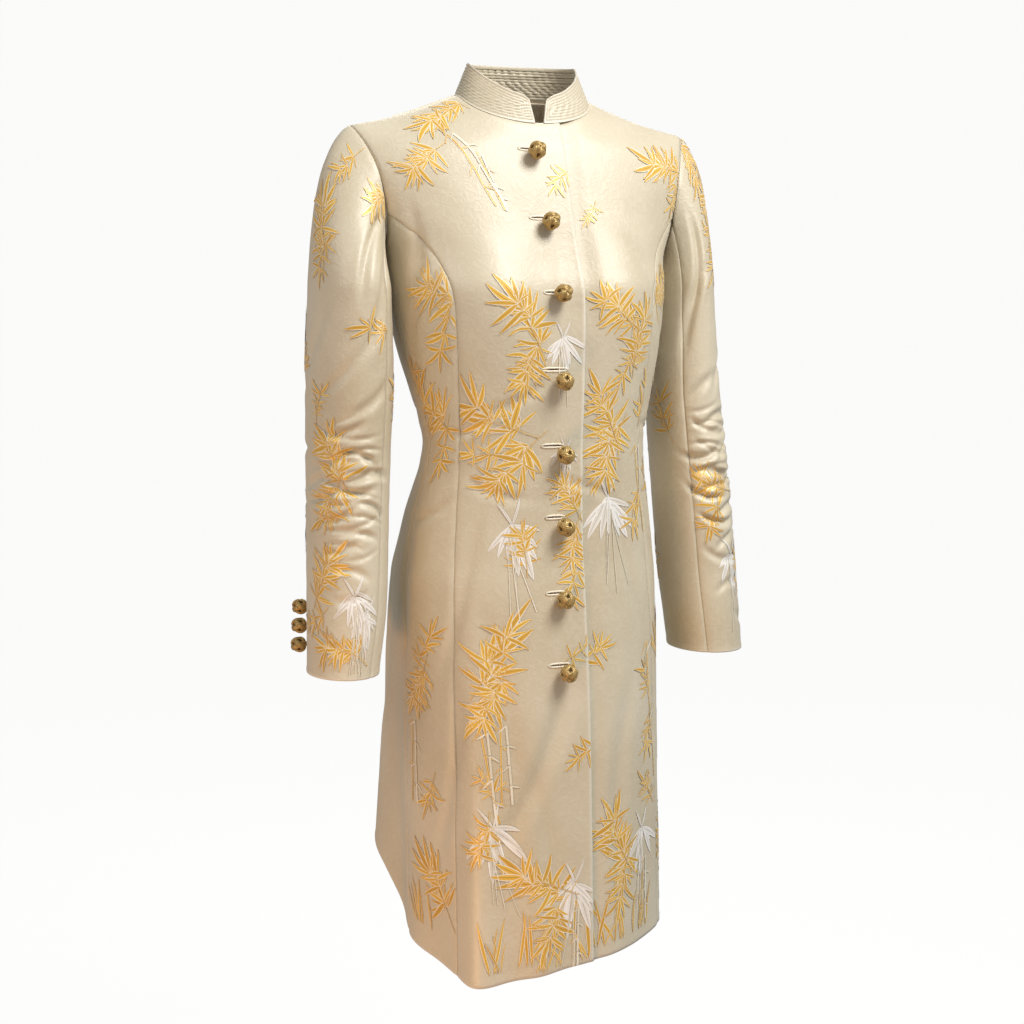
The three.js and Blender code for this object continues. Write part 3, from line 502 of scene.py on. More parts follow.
def hole_puckers(x, z):
    """Small drag lines round each buttonhole: a few waves by direction that die away with distance."""
    total = 0.0
    for k, (height, start, end) in enumerate(zip(HOLES["z"], HOLES["from"], HOLES["to"])):
        dx = x - (start + end) / 2
        dz = z - height
        distance = np.hypot(dx, dz)
        waves = PUCKER["push"] * np.sin(PUCKER["waves"] * np.arctan2(dz, dx) + 1.3 * k)
        total = total + waves * (distance / PUCKER["rise"]) * np.exp(-distance / PUCKER["fade"])
    return total


def soft_ripple(u, v, seed):
    """Faint unevenness of worn cloth: a few long sine waves with seeded directions."""
    rng = np.random.default_rng(seed)
    total = 0.0
    for _ in range(RIPPLE["waves"]):
        heading = rng.uniform(0, 2 * np.pi)
        pitch = rng.uniform(RIPPLE["shortest"], RIPPLE["longest"])
        phase = rng.uniform(0, 2 * np.pi)
        total = total + np.sin((u * np.cos(heading) + v * np.sin(heading)) * 2 * np.pi / pitch + phase)
    return total / RIPPLE["waves"]


# Cloth panels as grids
class Panel:
    """Outer face of one cloth piece: a grid of points with what its finish and patterns need."""

    def __init__(self, name, points, across, heights, borders):
        self.name = name
        self.points = points
        self.across = across
        self.heights = heights
        self.borders = borders
        # Share of painted highlight along free edges, 0 elsewhere
        self.edge = np.zeros(points.shape[:2])
        self.rings = None
        self.settle()

    def settle(self):
        """Works out normals and the cloth's own coordinates, as running lengths across and up."""
        self.normals = grid_normals(self.points)
        step = np.linalg.norm(np.diff(self.points, axis=1), axis=-1)
        rise = np.linalg.norm(np.diff(self.points, axis=0), axis=-1)
        self.u = np.concatenate([np.zeros((len(step), 1)), np.cumsum(step, axis=1)], axis=1)
        self.v = np.concatenate([np.zeros((1, rise.shape[1])), np.cumsum(rise, axis=0)], axis=0)

    def border_distance(self):
        """Distance of each point to the nearest left, right, top and bottom border."""
        return {
            "left": self.u,
            "right": self.u[:, -1:] - self.u,
            "bottom": self.v,
            "top": self.v[-1:] - self.v,
        }

    def finish_edges(self):
        """Seams sink a little at their borders, and free edges roll outwards in a soft bead that is marked
        for a painted highlight.
        """
        push = np.zeros_like(self.u)
        for place, distance in self.border_distance().items():
            kind = self.borders.get(place)
            if kind == "seam":
                push = push - SEAM["sink"] * bell(distance, 0, SEAM["width"])
            elif kind == "edge":
                push = push + EDGE_BEAD_AND_HIGHLIGHT["push"] * bell(distance, EDGE_BEAD_AND_HIGHLIGHT["at"], EDGE_BEAD_AND_HIGHLIGHT["width"])
                # A pale band at a free edge is a painted highlight on the rolled bead
                self.edge = np.maximum(self.edge, bell(distance, 0, EDGE_BEAD_AND_HIGHLIGHT["pale"]))
        self.points = self.points + self.normals * push[..., None]

    def lift(self, j, i, height):
        """Points at real-valued rows and columns, raised off the face by a height."""
        rows, columns = self.u.shape
        j0 = np.clip(np.floor(j).astype(int), 0, rows - 2)
        i0 = np.clip(np.floor(i).astype(int), 0, columns - 2)
        a = (j - j0)[..., None]
        b = (i - i0)[..., None]

        def blend(values):
            low = values[j0, i0] * (1 - b) + values[j0, i0 + 1] * b
            high = values[j0 + 1, i0] * (1 - b) + values[j0 + 1, i0 + 1] * b
            return low * (1 - a) + high * a

        return blend(self.points) + blend(self.normals) * np.asarray(height)[..., None]

    def find(self, across, z):
        """Row and column of the point nearest to a place given across and in height."""
        gap = (self.across - across) ** 2 + (self.heights - z) ** 2
        return np.unravel_index(np.argmin(gap), gap.shape)


def fill_between(bottom, top, left, right, reach=1):
    """Grid of plan values between four borders: the sum of both straight fills less the corner fill. With a
    reach over 1 the top border's shape is felt only near it, so that a steep one can't fold the grid."""
    v = np.linspace(0, 1, len(left))[:, None, None] ** reach
    u = np.linspace(0, 1, len(bottom))[None, :, None]
    bottom, top = bottom[None], top[None]
    left, right = left[:, None], right[:, None]
    low = (1 - v) * bottom[:, :1] + v * top[:, :1]
    high = (1 - v) * bottom[:, -1:] + v * top[:, -1:]
    return (1 - v) * bottom + v * top + (1 - u) * left + u * right - ((1 - u) * low + u * high)


def word_for(side):
    """The wearer's side in the pieces' names."""
    return "left" if side > 0 else "right"


def pairs(across, z):
    """Border as an array of [across, z] rows."""
    across, z = np.broadcast_arrays(np.asarray(across, float), np.asarray(z, float))
    return np.stack([across, z], axis=-1)


def body_panel(name, side, plan, to_angle, borders, seed, dips=False):
    """Cloth piece of the body from its plan grid, with folds, creases and edges, seen from outside."""
    across = plan[..., 0]
    z = plan[..., 1]
    angle = to_angle(across, z)
    points = body_point(angle, z)
    normals = body_normal(angle, z)
    depth = CREASE_DEPTH["body"] * creases(BODY_CREASES, angle, z, BODY_MM_PER_DEGREE)
    depth = depth * smooth((shoulder_z(points[..., 0]) - z - 12) / 40)
    push = RIPPLE["body"] * soft_ripple(angle * BODY_MM_PER_DEGREE, z, seed) - depth
    if dips:
        under = 1 - np.clip((across - LAP_BLEND["from"]) / (LAP_BLEND["to"] - LAP_BLEND["from"]), 0, 1)
        push = push - LAP_DIP * smooth(under)
    elif name == "front_right":
        push = push + hole_puckers(points[..., 0], z)
    points = points + normals * push[..., None]
    if side < 0:
        points = points[:, ::-1]
        z = z[:, ::-1]
        borders = {**borders, "left": borders["right"], "right": borders["left"]}
    panel = Panel(name, points, points[..., 0], z, borders)
    panel.finish_edges()
    panel.settle()
    return panel


def princess_border(side, parts):
    """Princess seam from the hem to its top, as distances from the centre line and heights."""
    z = np.linspace(hem_below(side * PRINCESS["x"][0]), PRINCESS_TOP_Z, ROWS["to_armhole"] * parts + 1)
    return read(PRINCESS, "z", z, "x"), z


def front_panel(side, parts=9, fine=5):
    """Front from the lap edge to the princess seam and armhole; the left one dips under the lap."""
    lap_hem = hem_below(np.array(-side * LAP))
    lap_neck = neck_seam(np.array(LAP_TURN))[1]
    lower = np.linspace(lap_hem, EDGE_BEND_Z["front"], ROWS["to_armhole"] * parts + 1)
    upper = eased(ROWS["armhole"] * parts, EDGE_BEND_Z["front"], lap_neck)
    edge = pairs(-LAP, np.concatenate([lower, upper[1:]]))
    seam_x, seam_z = princess_border(side, parts)
    hole_z = eased(ROWS["armhole"] * parts, PRINCESS_TOP_Z, SHOULDER_TIP["z"])[1:]
    outer = np.concatenate([pairs(seam_x, seam_z), pairs(read(ARMHOLE, "z", hole_z, "x"), hole_z)])
    turns = [-LAP_TURN, -GAP_TURN, GAP_TURN, *np.linspace(LAP_TURN, 90, NECK_COLUMNS + 1)]
    turns = finer(turns, fine)
    neck_x = NECK_SIDE["x"] * np.sin(np.radians(turns))
    neck_z = neck_seam(np.abs(turns))[1]
    shoulder_x = np.linspace(NECK_SIDE["x"], SHOULDER_TIP["x"], SHOULDER_COLUMNS * fine + 1)[1:]
    top = np.concatenate([pairs(neck_x, neck_z), pairs(shoulder_x, shoulder_z(shoulder_x))])
    x = np.linspace(-LAP, PRINCESS["x"][0], len(top))
    bottom = pairs(x, hem_below(side * x))
    plan = fill_between(bottom, top, edge, outer, NECK_REACH)
    borders = {"left": "edge", "right": "seam", "top": "seam", "bottom": "edge"}
    name = f"front_{word_for(side)}"
    seed = RIPPLE_SEED["front"]
    return body_panel(name, side, plan, lambda a, z: angle_at(side * a, z), borders, seed, dips=side > 0)


def armhole_angle(z):
    """Angle of the armhole on the front, meeting the side seam under the arm."""
    return angle_at(read(ARMHOLE, "z", z, "x"), z)


def side_seam_border(side, parts):
    """Side seam from the hem to the underarm."""
    hem = hem_z(side * SIDE_SEAM_ANGLE)
    return pairs(SIDE_SEAM_ANGLE, np.linspace(hem, ARMHOLE["z"][0], ROWS["to_armhole"] * parts + 1))


def side_front_panel(side, parts=9, fine=5):
    """Side front between the princess seam, the armhole and the side seam."""
    seam_x, seam_z = princess_border(side, parts)
    inner = pairs(angle_at(seam_x, seam_z), seam_z)
    outer = side_seam_border(side, parts)
    z = np.linspace(PRINCESS_TOP_Z, ARMHOLE["z"][0], SIDE_COLUMNS * fine + 1)
    top = pairs(np.minimum(armhole_angle(z), SIDE_SEAM_ANGLE), z)
    top[-1, 0] = SIDE_SEAM_ANGLE
    a = np.linspace(inner[0, 0], SIDE_SEAM_ANGLE, len(top))
    bottom = pairs(a, hem_z(side * a))
    bottom[0, 1] = inner[0, 1]
    plan = fill_between(bottom, top, inner, outer)
    borders = {"left": "seam", "right": "seam", "top": "seam", "bottom": "edge"}
    name = f"side_front_{word_for(side)}"
    return body_panel(name, side, plan, lambda a, z: side * a, borders, RIPPLE_SEED["side_front"] + side)


def back_panel(side, parts=9, fine=6):
    """Back from the side seam and armhole to the centre back seam, up to shoulder and neck."""
    hole_z = eased(ROWS["armhole"] * parts, ARMHOLE["z"][0], SHOULDER_TIP["z"])[1:]
    inner = np.concatenate([side_seam_border(side, parts), pairs(180 - armhole_angle(hole_z), hole_z)])
    shoulder_x = np.linspace(SHOULDER_TIP["x"], NECK_SIDE["x"], SHOULDER_COLUMNS * fine + 1)
    ridge = shoulder_z(shoulder_x)
    turns = np.linspace(90, 180, NECK_COLUMNS * fine + 1)[1:]
    neck_x, neck_z = neck_seam(turns)
    top = np.concatenate([
        pairs(180 - angle_at(shoulder_x, ridge), ridge),
        pairs(180 - angle_at(neck_x, neck_z), neck_z),
    ])
    lower = np.linspace(hem_z(180.0), EDGE_BEND_Z["back"], ROWS["to_armhole"] * parts + 1)
    upper = eased(ROWS["armhole"] * parts, EDGE_BEND_Z["back"], NECK_BACK_Z)
    centre = pairs(180, np.concatenate([lower, upper[1:]]))
    a = np.linspace(SIDE_SEAM_ANGLE, 180, len(top))
    bottom = pairs(a, hem_z(side * a))
    plan = fill_between(bottom, top, inner, centre)
    borders = {"left": "seam", "right": "seam", "top": "seam", "bottom": "edge"}
    name = f"back_{word_for(side)}"
    return body_panel(name, side, plan, lambda a, z: side * a, borders, RIPPLE_SEED["back"] + side)


# Sleeves
def armhole_ring(side, count=240):
    """Armhole ring from the shoulder tip down the front, under the arm and up the back, as turns from 0 to
    360 that run evenly with length on each half."""
    front = eased(80, PRINCESS_TOP_Z, SHOULDER_TIP["z"])[::-1]
    under = np.linspace(PRINCESS_TOP_Z, ARMHOLE["z"][0], 41)[1:]
    back = eased(80, ARMHOLE["z"][0], SHOULDER_TIP["z"])[1:]
    z = np.concatenate([front, under, back])
    ahead = np.minimum(armhole_angle(np.concatenate([front, under])), SIDE_SEAM_ANGLE)
    ahead[-1] = SIDE_SEAM_ANGLE
    angle = side * np.concatenate([ahead, 180 - armhole_angle(back)])
    points = body_point(angle, z)
    length = np.concatenate([[0], np.cumsum(np.linalg.norm(np.diff(points, axis=0), axis=1))])
    middle = len(ahead) - 1
    half = length[middle]
    turn = np.where(length <= half, 180 * length / half, 180 + 180 * (length - half) / (length[-1] - half))
    even = np.linspace(0, 360, count + 1)
    angle = np.interp(even, turn, angle)
    z = np.interp(even, turn, z)
    return even, body_point(angle, z), body_normal(angle, z)


def sleeve_section(side, turn, z):
    """Point of a sleeve's horizontal section, an ellipse: turn 0 is outward, 90 in front, 180 inward."""
    arm = SLEEVE[side]
    out = read(arm, "z", z, "x") + read(arm, "z", z, "half") * np.cos(np.radians(turn))
    y = read(arm, "z", z, "y") - read(arm, "z", z, "depth") * np.sin(np.radians(turn))
    return np.stack([side * out, y, np.broadcast_to(z, out.shape)], axis=-1)


def sleeve_panel(side, is_top, rows=230, cap_rows=60):
    """Sleeve piece: ellipse sections up the arm, then Hermite curves from each section point to the armhole,
    leaving it sloped down and out. Columns run from one long seam to the other."""
    arm = SLEEVE[side]
    cap_end = arm["z"][0]
    cuff = arm["z"][-1]
    seam = SLEEVE_SEAM
    front, back = seam["front_top"], seam["back_top"]
    turns = np.linspace(front, back, 66) if is_top else np.linspace(back, front - 360, 46)
    ring_turn, ring_point, ring_normal = armhole_ring(side)

    def round_ring(values):
        return np.stack([np.interp(turns % 360, ring_turn, values[:, k]) for k in range(3)], axis=-1)

    def turn_at(z):
        t = (cap_end - z) / (cap_end - cuff)
        f = mix(front, seam["front_cuff"], t)
        b = mix(back, seam["back_cuff"], t)
        if is_top:
            return mix(b, f, (turns - back) / (front - back))
        return mix(b, f - 360, (back - turns) / (back - front + 360))

    z = np.linspace(cuff, cap_end, rows + 1)[:, None]
    turn_rows = np.broadcast_to(turn_at(z), (rows + 1, len(turns)))
    arms = sleeve_section(side, turn_rows, np.broadcast_to(z, turn_rows.shape))
    start = round_ring(ring_point)
    normal = round_ring(ring_normal)
    under = np.clip(-np.cos(np.radians(turns)) * UNDERARM_REACH, 0, 1)
    start = start + normal * (UNDERARM_STEP * under)[:, None]
    end = arms[-1]
    reach = np.linalg.norm(start - end, axis=1)[:, None]
    slope = np.radians(mix(CAP_SLOPE["top"], CAP_SLOPE["underarm"], (1 - np.cos(np.radians(turns))) / 2))
    lean = -CAP_FRONT_LEAN * np.sin(np.radians(turns))
    leave = unit(np.stack([side * np.cos(slope), lean, -np.sin(slope)], axis=-1))
    leave = leave * CAP_PULL["start"] * reach
    look = np.full(len(turns), float(cap_end - CAP_LOOK))
    below = sleeve_section(side, turn_at(look), look)
    arrive = unit(below - end) * CAP_PULL["end"] * reach
    v = np.linspace(1, 0, cap_rows + 1)[1:, None, None]
    cap = (
        start * (1 + 2 * v) * (1 - v) ** 2
        + leave * v * (1 - v) ** 2
        + end * v * v * (3 - 2 * v)
        + arrive * v * v * (v - 1)
    )
    points = np.concatenate([arms, cap])
    turn_grid = np.concatenate([turn_rows, np.broadcast_to(turns, cap.shape[:2])])
    if side < 0:
        points = points[:, ::-1]
        turn_grid = turn_grid[:, ::-1]
    name = f"sleeve_{'top' if is_top else 'under'}_{word_for(side)}"
    borders = {"left": "seam", "right": "seam", "top": "seam", "bottom": "edge"}
    panel = Panel(name, points, turned(turn_grid), points[..., 2].copy(), borders)
    depth = creases(SLEEVE_CREASES[side], panel.across, panel.heights, ARM_MM_PER_DEGREE)
    depth = CREASE_DEPTH["sleeve"] * depth * smooth((panel.v[-1:] - panel.v - 4) / 24)
    seed = RIPPLE_SEED["sleeve"] + side
    push = RIPPLE["sleeve"] * soft_ripple(panel.across * ARM_MM_PER_DEGREE, panel.heights, seed) - depth
    panel.points = panel.points + panel.normals * push[..., None]
    panel.settle()
    panel.finish_edges()
    panel.settle()
    return panel


# Collar and facing
def neck_point(turn):
    """Point of the neck seam on the body, round the whole neck from 0 to 360."""
    side = np.where(turn <= 180, 1, -1)
    half_turn = np.where(turn <= 180, turn, 360 - turn)
    x, z = neck_seam(half_turn)
    front = angle_at(x, z)
    angle = side * np.where(half_turn > 90, 180 - front, front)
    return body_point(angle, z)


def collar_panel():
    """Stand collar: straight lines from the neck seam to a top ellipse, with corners rounded down in front.
    Rows of topstitching sink in at equal distances from the top edge, the front ends and the base."""
    rows, columns = COLLAR_GRID
    turn = np.linspace(GAP_TURN, 360 - GAP_TURN, columns)
    side = np.where(turn <= 180, 1, -1)
    around = np.where(turn <= 180, turn, 360 - turn)
    sin = np.sin(np.radians(around))
    cos = np.cos(np.radians(around))
    gap = COLLAR_GAP["top"] - COLLAR_GAP["bottom"]
    spread = np.maximum(0, 1 - around / COLLAR_OPEN_TURN) * gap
    ahead = cos > 0
    end = np.where(ahead, COLLAR_TOP["front"], COLLAR_TOP["back"])
    end_z = np.where(ahead, COLLAR_TOP["front_z"], COLLAR_TOP["back_z"])
    corner = np.clip((around - GAP_TURN) / (LAP_TURN - GAP_TURN), 0, 1)
    drop = COLLAR_CORNER_DROP * (1 - corner) ** 2
    top = np.stack([
        side * (COLLAR_TOP["half"] * sin + spread),
        mix(COLLAR_MIDDLE_Y, end, np.abs(cos)),
        mix(COLLAR_TOP["side_z"], end_z, np.abs(cos) ** COLLAR_TOP["fall"]) - drop,
    ], axis=-1)
    base = neck_point(turn) + np.array([0, 0, COLLAR_LIFT])
    v = np.linspace(0, 1, rows)[:, None, None]
    points = base * (1 - v) + top * v
    panel = Panel("collar", points, points[..., 0], points[..., 2], {})
    gaps = panel.border_distance()
    end_gap = np.minimum(gaps["left"], gaps["right"])
    near = np.minimum(np.minimum(gaps["top"], end_gap), gaps["bottom"])
    panel.rings = near
    pitch = COLLAR_ROWS["pitch"]
    across_row = (near - COLLAR_ROWS["from"]) % pitch
    groove = COLLAR_ROWS["depth"] * bell(across_row, pitch / 2, COLLAR_ROWS["width"])
    groove = groove * smooth((near - 1.4) / 0.6)
    wander = COLLAR_QUILT["wander"] * np.sin(panel.v / 4)
    waves = np.sin(panel.u * 2 * np.pi / COLLAR_QUILT["pitch"] + wander)
    quilt = COLLAR_QUILT["push"] * waves * smooth(near / 6)
    bead = COLLAR_BEAD_AND_HIGHLIGHT["push"] * bell(near, COLLAR_BEAD_AND_HIGHLIGHT["at"], COLLAR_BEAD_AND_HIGHLIGHT["width"])
    panel.points = panel.points + panel.normals * (bead + quilt - groove)[..., None]
    panel.settle()
    # A pale band round the collar's edges is a painted highlight on its bead
    panel.edge = np.exp(-((near / COLLAR_BEAD_AND_HIGHLIGHT["pale"]) ** 4))
    return panel


def facing_panel():
    """Facing inside the back neck: the back's own form, moved in under the back's wall."""
    rows, columns = FACING_GRID
    turn = np.linspace(FACING["from"], 360 - FACING["from"], columns)[None]
    v = np.linspace(1, 0, rows)[:, None]
    half_turn = np.where(turn <= 180, turn, 360 - turn)
    side = np.where(turn <= 180, 1, -1)
    sin = np.sin(np.radians(turn))
    cos = np.cos(np.radians(turn))
    neck_z = neck_seam(half_turn)[1]
    x = NECK_SIDE["x"] * sin + v * FACING["depth"] * sin
    z = neck_z - v * FACING["depth"] * np.abs(cos) ** FACING["fall"] - FACING["below"]
    angle = side * (180 - angle_at(np.abs(x), z))
    normals = body_normal(angle, z)
    points = body_point(angle, z) - normals * (WALL + FACING["gap"])
    return Panel("neck_facing", points, points[..., 0], points[..., 2], {})


# Woven bamboo: clusters of leaves and canes, laid on the grid of each panel
# Place across in millimetres, or turn on a sleeve, then height, kind, heading in degrees and size
BAMBOO = {
    "front_right": [
        (-98, -8, "spray", 200, 46),
        (-132, -58, "spray", 215, 38),
        (-100, -30, "cane", -62, 90),
        (-74, -48, "cane", -72, 62),
        (12, -74, "sprig", 215, 26),
        (-44, -214, "spray", 120, 52),
        (-38, -262, "spray", 250, 42),
        (-2, -236, "hang", -90, 44),
        (-72, -318, "spray", 150, 56),
        (-52, -362, "spray", 230, 52),
        (-82, -352, "sprig", 180, 36),
        (-54, -428, "hang", -80, 66),
        (-42, -452, "spray", 100, 34),
        (4, -350, "hang", -90, 32),
        (8, -400, "spray", 120, 36),
        (12, -446, "spray", 260, 38),
        (8, -494, "sprig", 250, 36),
        (-76, -562, "spray", 60, 58),
        (-84, -610, "spray", 240, 44),
        (-92, -640, "cane", -84, 100),
        (-74, -632, "cane", -88, 84),
        (-90, -690, "sprig", 120, 26),
        (-84, -738, "hang", -78, 62),
        (-92, -752, "spray", 250, 36),
        (14, -664, "sprig", 200, 30),
        (16, -560, "sprig", 20, 26),
        (-34, -796, "spray", 150, 52),
        (-18, -836, "spray", 240, 46),
        (2, -800, "hang", -92, 58),
        (2, -830, "cane", -92, 62),
        (-64, -886, "grass", 95, 60),
        (-30, -888, "grass", 84, 46),
        (10, -884, "grass", 100, 70),
    ],
    "front_left": [
        (32, -562, "sprig", 30, 34),
        (60, -208, "spray", 140, 44),
        (86, -236, "spray", 80, 46),
        (74, -268, "sprig", 240, 34),
        (50, -312, "spray", 120, 50),
        (56, -354, "spray", 245, 48),
        (92, -350, "cane", -84, 96),
        (54, -404, "hang", -88, 60),
        (102, -300, "sprig", 70, 34),
        (92, -420, "sprig", 250, 34),
        (40, -112, "sprig", 230, 20),
        (146, -58, "spray", 175, 48),
        (158, -88, "sprig", 250, 32),
        (104, -560, "cane", -88, 150),
        (100, -600, "sprig", 110, 30),
        (104, -660, "sprig", 250, 34),
        (100, -716, "sprig", 120, 30),
        (54, -762, "spray", 110, 52),
        (62, -806, "spray", 250, 44),
        (88, -758, "hang", -90, 56),
        (90, -790, "cane", -92, 70),
        (40, -874, "grass", 96, 62),
        (78, -870, "grass", 86, 54),
    ],
    "side_front_right": [
        (-124, -190, "spray", 130, 48),
        (-120, -234, "sprig", 240, 40),
        (-122, -310, "spray", 130, 52),
        (-114, -352, "sprig", 250, 40),
        (-134, -286, "sprig", 60, 34),
        (-132, -552, "sprig", 60, 34),
        (-136, -598, "spray", 240, 42),
        (-140, -640, "cane", -90, 90),
        (-130, -716, "sprig", 250, 32),
        (-124, -812, "spray", 130, 52),
        (-130, -864, "grass", 100, 48),
    ],
    "side_front_left": [
        (126, -186, "spray", 60, 42),
        (124, -330, "spray", 120, 46),
        (118, -380, "sprig", 250, 40),
        (130, -560, "spray", 60, 44),
        (132, -640, "cane", -88, 100),
        (128, -770, "spray", 240, 46),
        (130, -850, "grass", 92, 46),
    ],
    "sleeve_top_right": [
        (20, -120, "spray", 110, 46),
        (24, -156, "sprig", 250, 38),
        (34, -60, "sprig", 250, 34),
        (104, -226, "sprig", 180, 38),
        (92, -96, "spray", 240, 34),
        (48, -356, "spray", 110, 50),
        (44, -404, "spray", 250, 46),
        (26, -300, "sprig", 70, 28),
        (36, -478, "spray", 60, 44),
        (80, -496, "hang", -86, 52),
        (96, -512, "hang", -94, 44),
        (64, -550, "spray", 170, 40),
        (16, -524, "sprig", 200, 34),
        (-30, -250, "spray", 100, 44),
        (-40, -430, "spray", 250, 46),
    ],
    "sleeve_top_left": [
        (30, -40, "spray", 240, 44),
        (40, -104, "spray", 70, 46),
        (42, -150, "spray", 250, 40),
        (20, -240, "cane", -86, 90),
        (96, -396, "spray", 150, 44),
        (92, -436, "sprig", 250, 40),
        (30, -350, "cane", -88, 120),
        (60, -478, "hang", -86, 54),
        (30, -500, "spray", 100, 40),
        (-20, -300, "spray", 120, 46),
        (-36, -170, "spray", 250, 42),
        (-30, -470, "hang", -88, 48),
    ],
    "sleeve_under_right": [
        (160, -300, "sprig", 110, 40),
        (-120, -360, "spray", 250, 44),
        (-150, -480, "sprig", 100, 40),
    ],
    "sleeve_under_left": [
        (160, -320, "sprig", 100, 40),
        (-120, -380, "spray", 250, 44),
        (-150, -490, "sprig", 100, 40),
    ],
    "back_right": [
        (-50, -50, "spray", 120, 50),
        (-110, -90, "spray", 220, 46),
        (-60, -110, "cane", -80, 90),
        (-40, -230, "spray", 110, 52),
        (-78, -262, "spray", 250, 48),
        (-20, -300, "hang", -90, 50),
        (-66, -370, "spray", 140, 52),
        (-100, -430, "spray", 60, 50),
        (-44, -470, "hang", -86, 60),
        (-80, -540, "spray", 240, 52),
        (-112, -600, "cane", -88, 120),
        (-40, -620, "spray", 110, 54),
        (-70, -700, "spray", 60, 50),
        (-24, -730, "hang", -92, 60),
        (-96, -770, "grass", 96, 60),
        (-40, -826, "grass", 88, 60),
    ],
    "back_left": [
        (60, -40, "spray", 60, 48),
        (120, -100, "spray", 300, 46),
        (40, -150, "cane", -96, 100),
        (82, -200, "spray", 100, 52),
        (30, -236, "spray", 250, 44),
        (70, -330, "hang", -88, 52),
        (36, -380, "spray", 120, 52),
        (96, -440, "spray", 70, 50),
        (60, -520, "spray", 250, 54),
        (24, -560, "hang", -92, 58),
        (104, -620, "cane", -90, 110),
        (76, -660, "spray", 110, 54),
        (30, -690, "spray", 250, 46),
        (100, -740, "hang", -88, 56),
        (56, -800, "spray", 100, 50),
        (90, -836, "grass", 92, 56),
        (24, -838, "grass", 84, 50),
    ],
}
GOLD, WHITE, LINE = 0, 1, 2
LEAF_STATIONS = 11
LEAF_ACROSS = np.array([-1.0, 0.0, 1.0])
LEAF_SHAPE = {"full": 1.75, "foot": 0.55, "tip": 0.8}
LEAF_MARGIN = 0.8
BAMBOO_SEED = 700
THREAD_LIFT = {"from": 0.35, "rise": 0.55}


class Leaves:
    """Rows of leaves and stems, each with its foot, heading, length, width, curl, strip share and thread."""

    def __init__(self):
        self.rows = []

    def add(self, u, v, heading, length, width, curl=0.0, strip=0.0, thread=GOLD):
        self.rows.append((u, v, heading, length, width, curl, strip, thread))

    def table(self):
        return np.array(self.rows, float)


def bamboo_cluster(kind, heading, size, rng):
    """Leaves of one cluster about its foot. A spray has fans of leaves at a few knots of a twig, a sprig has
    fewer, a hanging one has long drooping leaves, grass has rising blades, and a cane has jointed stems."""
    leaves = Leaves()
    if kind in ("spray", "sprig"):
        knots = 5 if kind == "spray" else 3
        along = math.radians(heading)
        for k in range(knots):
            back = (k / knots - 0.45) * size * 1.1
            u = math.cos(along) * back + rng.normal(0, size * 0.05)
            v = math.sin(along) * back + rng.normal(0, size * 0.05)
            for spread in np.linspace(-82, 82, 7 if kind == "spray" else 5):
                turn = heading + spread + rng.normal(0, 9)
                length = size * rng.uniform(0.44, 0.86) * (1 - 0.2 * abs(spread) / 82)
                leaves.add(u, v, turn, length, length * rng.uniform(0.20, 0.30), rng.normal(0, 16))
        leaves.add(0, 0, heading + 180, size * 0.9, 1.0, rng.normal(0, 14), 1.0, GOLD)
    elif kind == "hang":
        for spread in (-62, -40, -22, -6, 10, 26, 46, 70):
            turn = heading + spread + rng.normal(0, 5)
            length = size * rng.uniform(0.6, 1.05) * (1 - 0.3 * abs(spread) / 70)
            foot = (rng.normal(0, 1.5), rng.normal(0, 1.5))
            leaves.add(*foot, turn, length, length * 0.24, -0.25 * spread, 0, WHITE)
        for spread in (150, 200):
            leaves.add(0, 0, heading + spread, size * 0.45, size * 0.06, 12, 0, WHITE)
        for _ in range(4):
            turn = heading + rng.uniform(-12, 12)
            foot = rng.uniform(-5, 5)
            length = size * rng.uniform(1.0, 1.5)
            leaves.add(foot, -size * 0.2, turn, length, 0.9, rng.normal(0, 5), 1.0, LINE)
    elif kind == "grass":
        for _ in range(9):
            foot = rng.uniform(-size * 0.45, size * 0.45)
            turn = heading + rng.normal(0, 13)
            length = size * rng.uniform(0.5, 1.1)
            leaves.add(foot, 0, turn, length, length * 0.10, rng.normal(0, 14))
    elif kind == "cane":
        joints = 4
        for start, thread in ((0.0, GOLD), (size * 0.07, LINE)):
            turn = heading + rng.normal(0, 2)
            for k in range(joints):
                step = size / joints
                u = start + math.cos(math.radians(turn)) * step * k
                v = math.sin(math.radians(turn)) * step * k
                leaves.add(u, v, turn, step * 0.97, 2.4, rng.normal(0, 2), 1.0, thread)
                side = 55 if k % 2 else -55
                leaves.add(u, v, turn + side, step * 0.55, step * 0.11, rng.normal(0, 14), 0, thread)
    return leaves.table()


def leaf_outlines(rows):
    """Leaf outlines in cloth millimetres: half width W t^0.55 (1 - t)^0.8 about a centre line whose heading
    turns evenly by the curl; a stem keeps its width. Gives u and v on a stations by three grid."""
    t = np.linspace(0, 1, LEAF_STATIONS)[None]
    foot_u, foot_v, heading, length, width, curl, strip, _ = rows.T[..., None]
    direction = np.radians(heading + curl * t)
    step = length / (LEAF_STATIONS - 1)
    cos = np.cos(direction)
    sin = np.sin(direction)
    centre_u = foot_u + np.concatenate([0 * foot_u, np.cumsum(cos[:, :-1] * step, axis=1)], axis=1)
    centre_v = foot_v + np.concatenate([0 * foot_v, np.cumsum(sin[:, :-1] * step, axis=1)], axis=1)
    lance = LEAF_SHAPE["full"] * t ** LEAF_SHAPE["foot"] * (1 - t) ** LEAF_SHAPE["tip"]
    half = width / 2 * np.where(strip > 0, 1.0, lance)
    u = centre_u[..., None] - sin[..., None] * half[..., None] * LEAF_ACROSS
    v = centre_v[..., None] + cos[..., None] * half[..., None] * LEAF_ACROSS
    return u, v


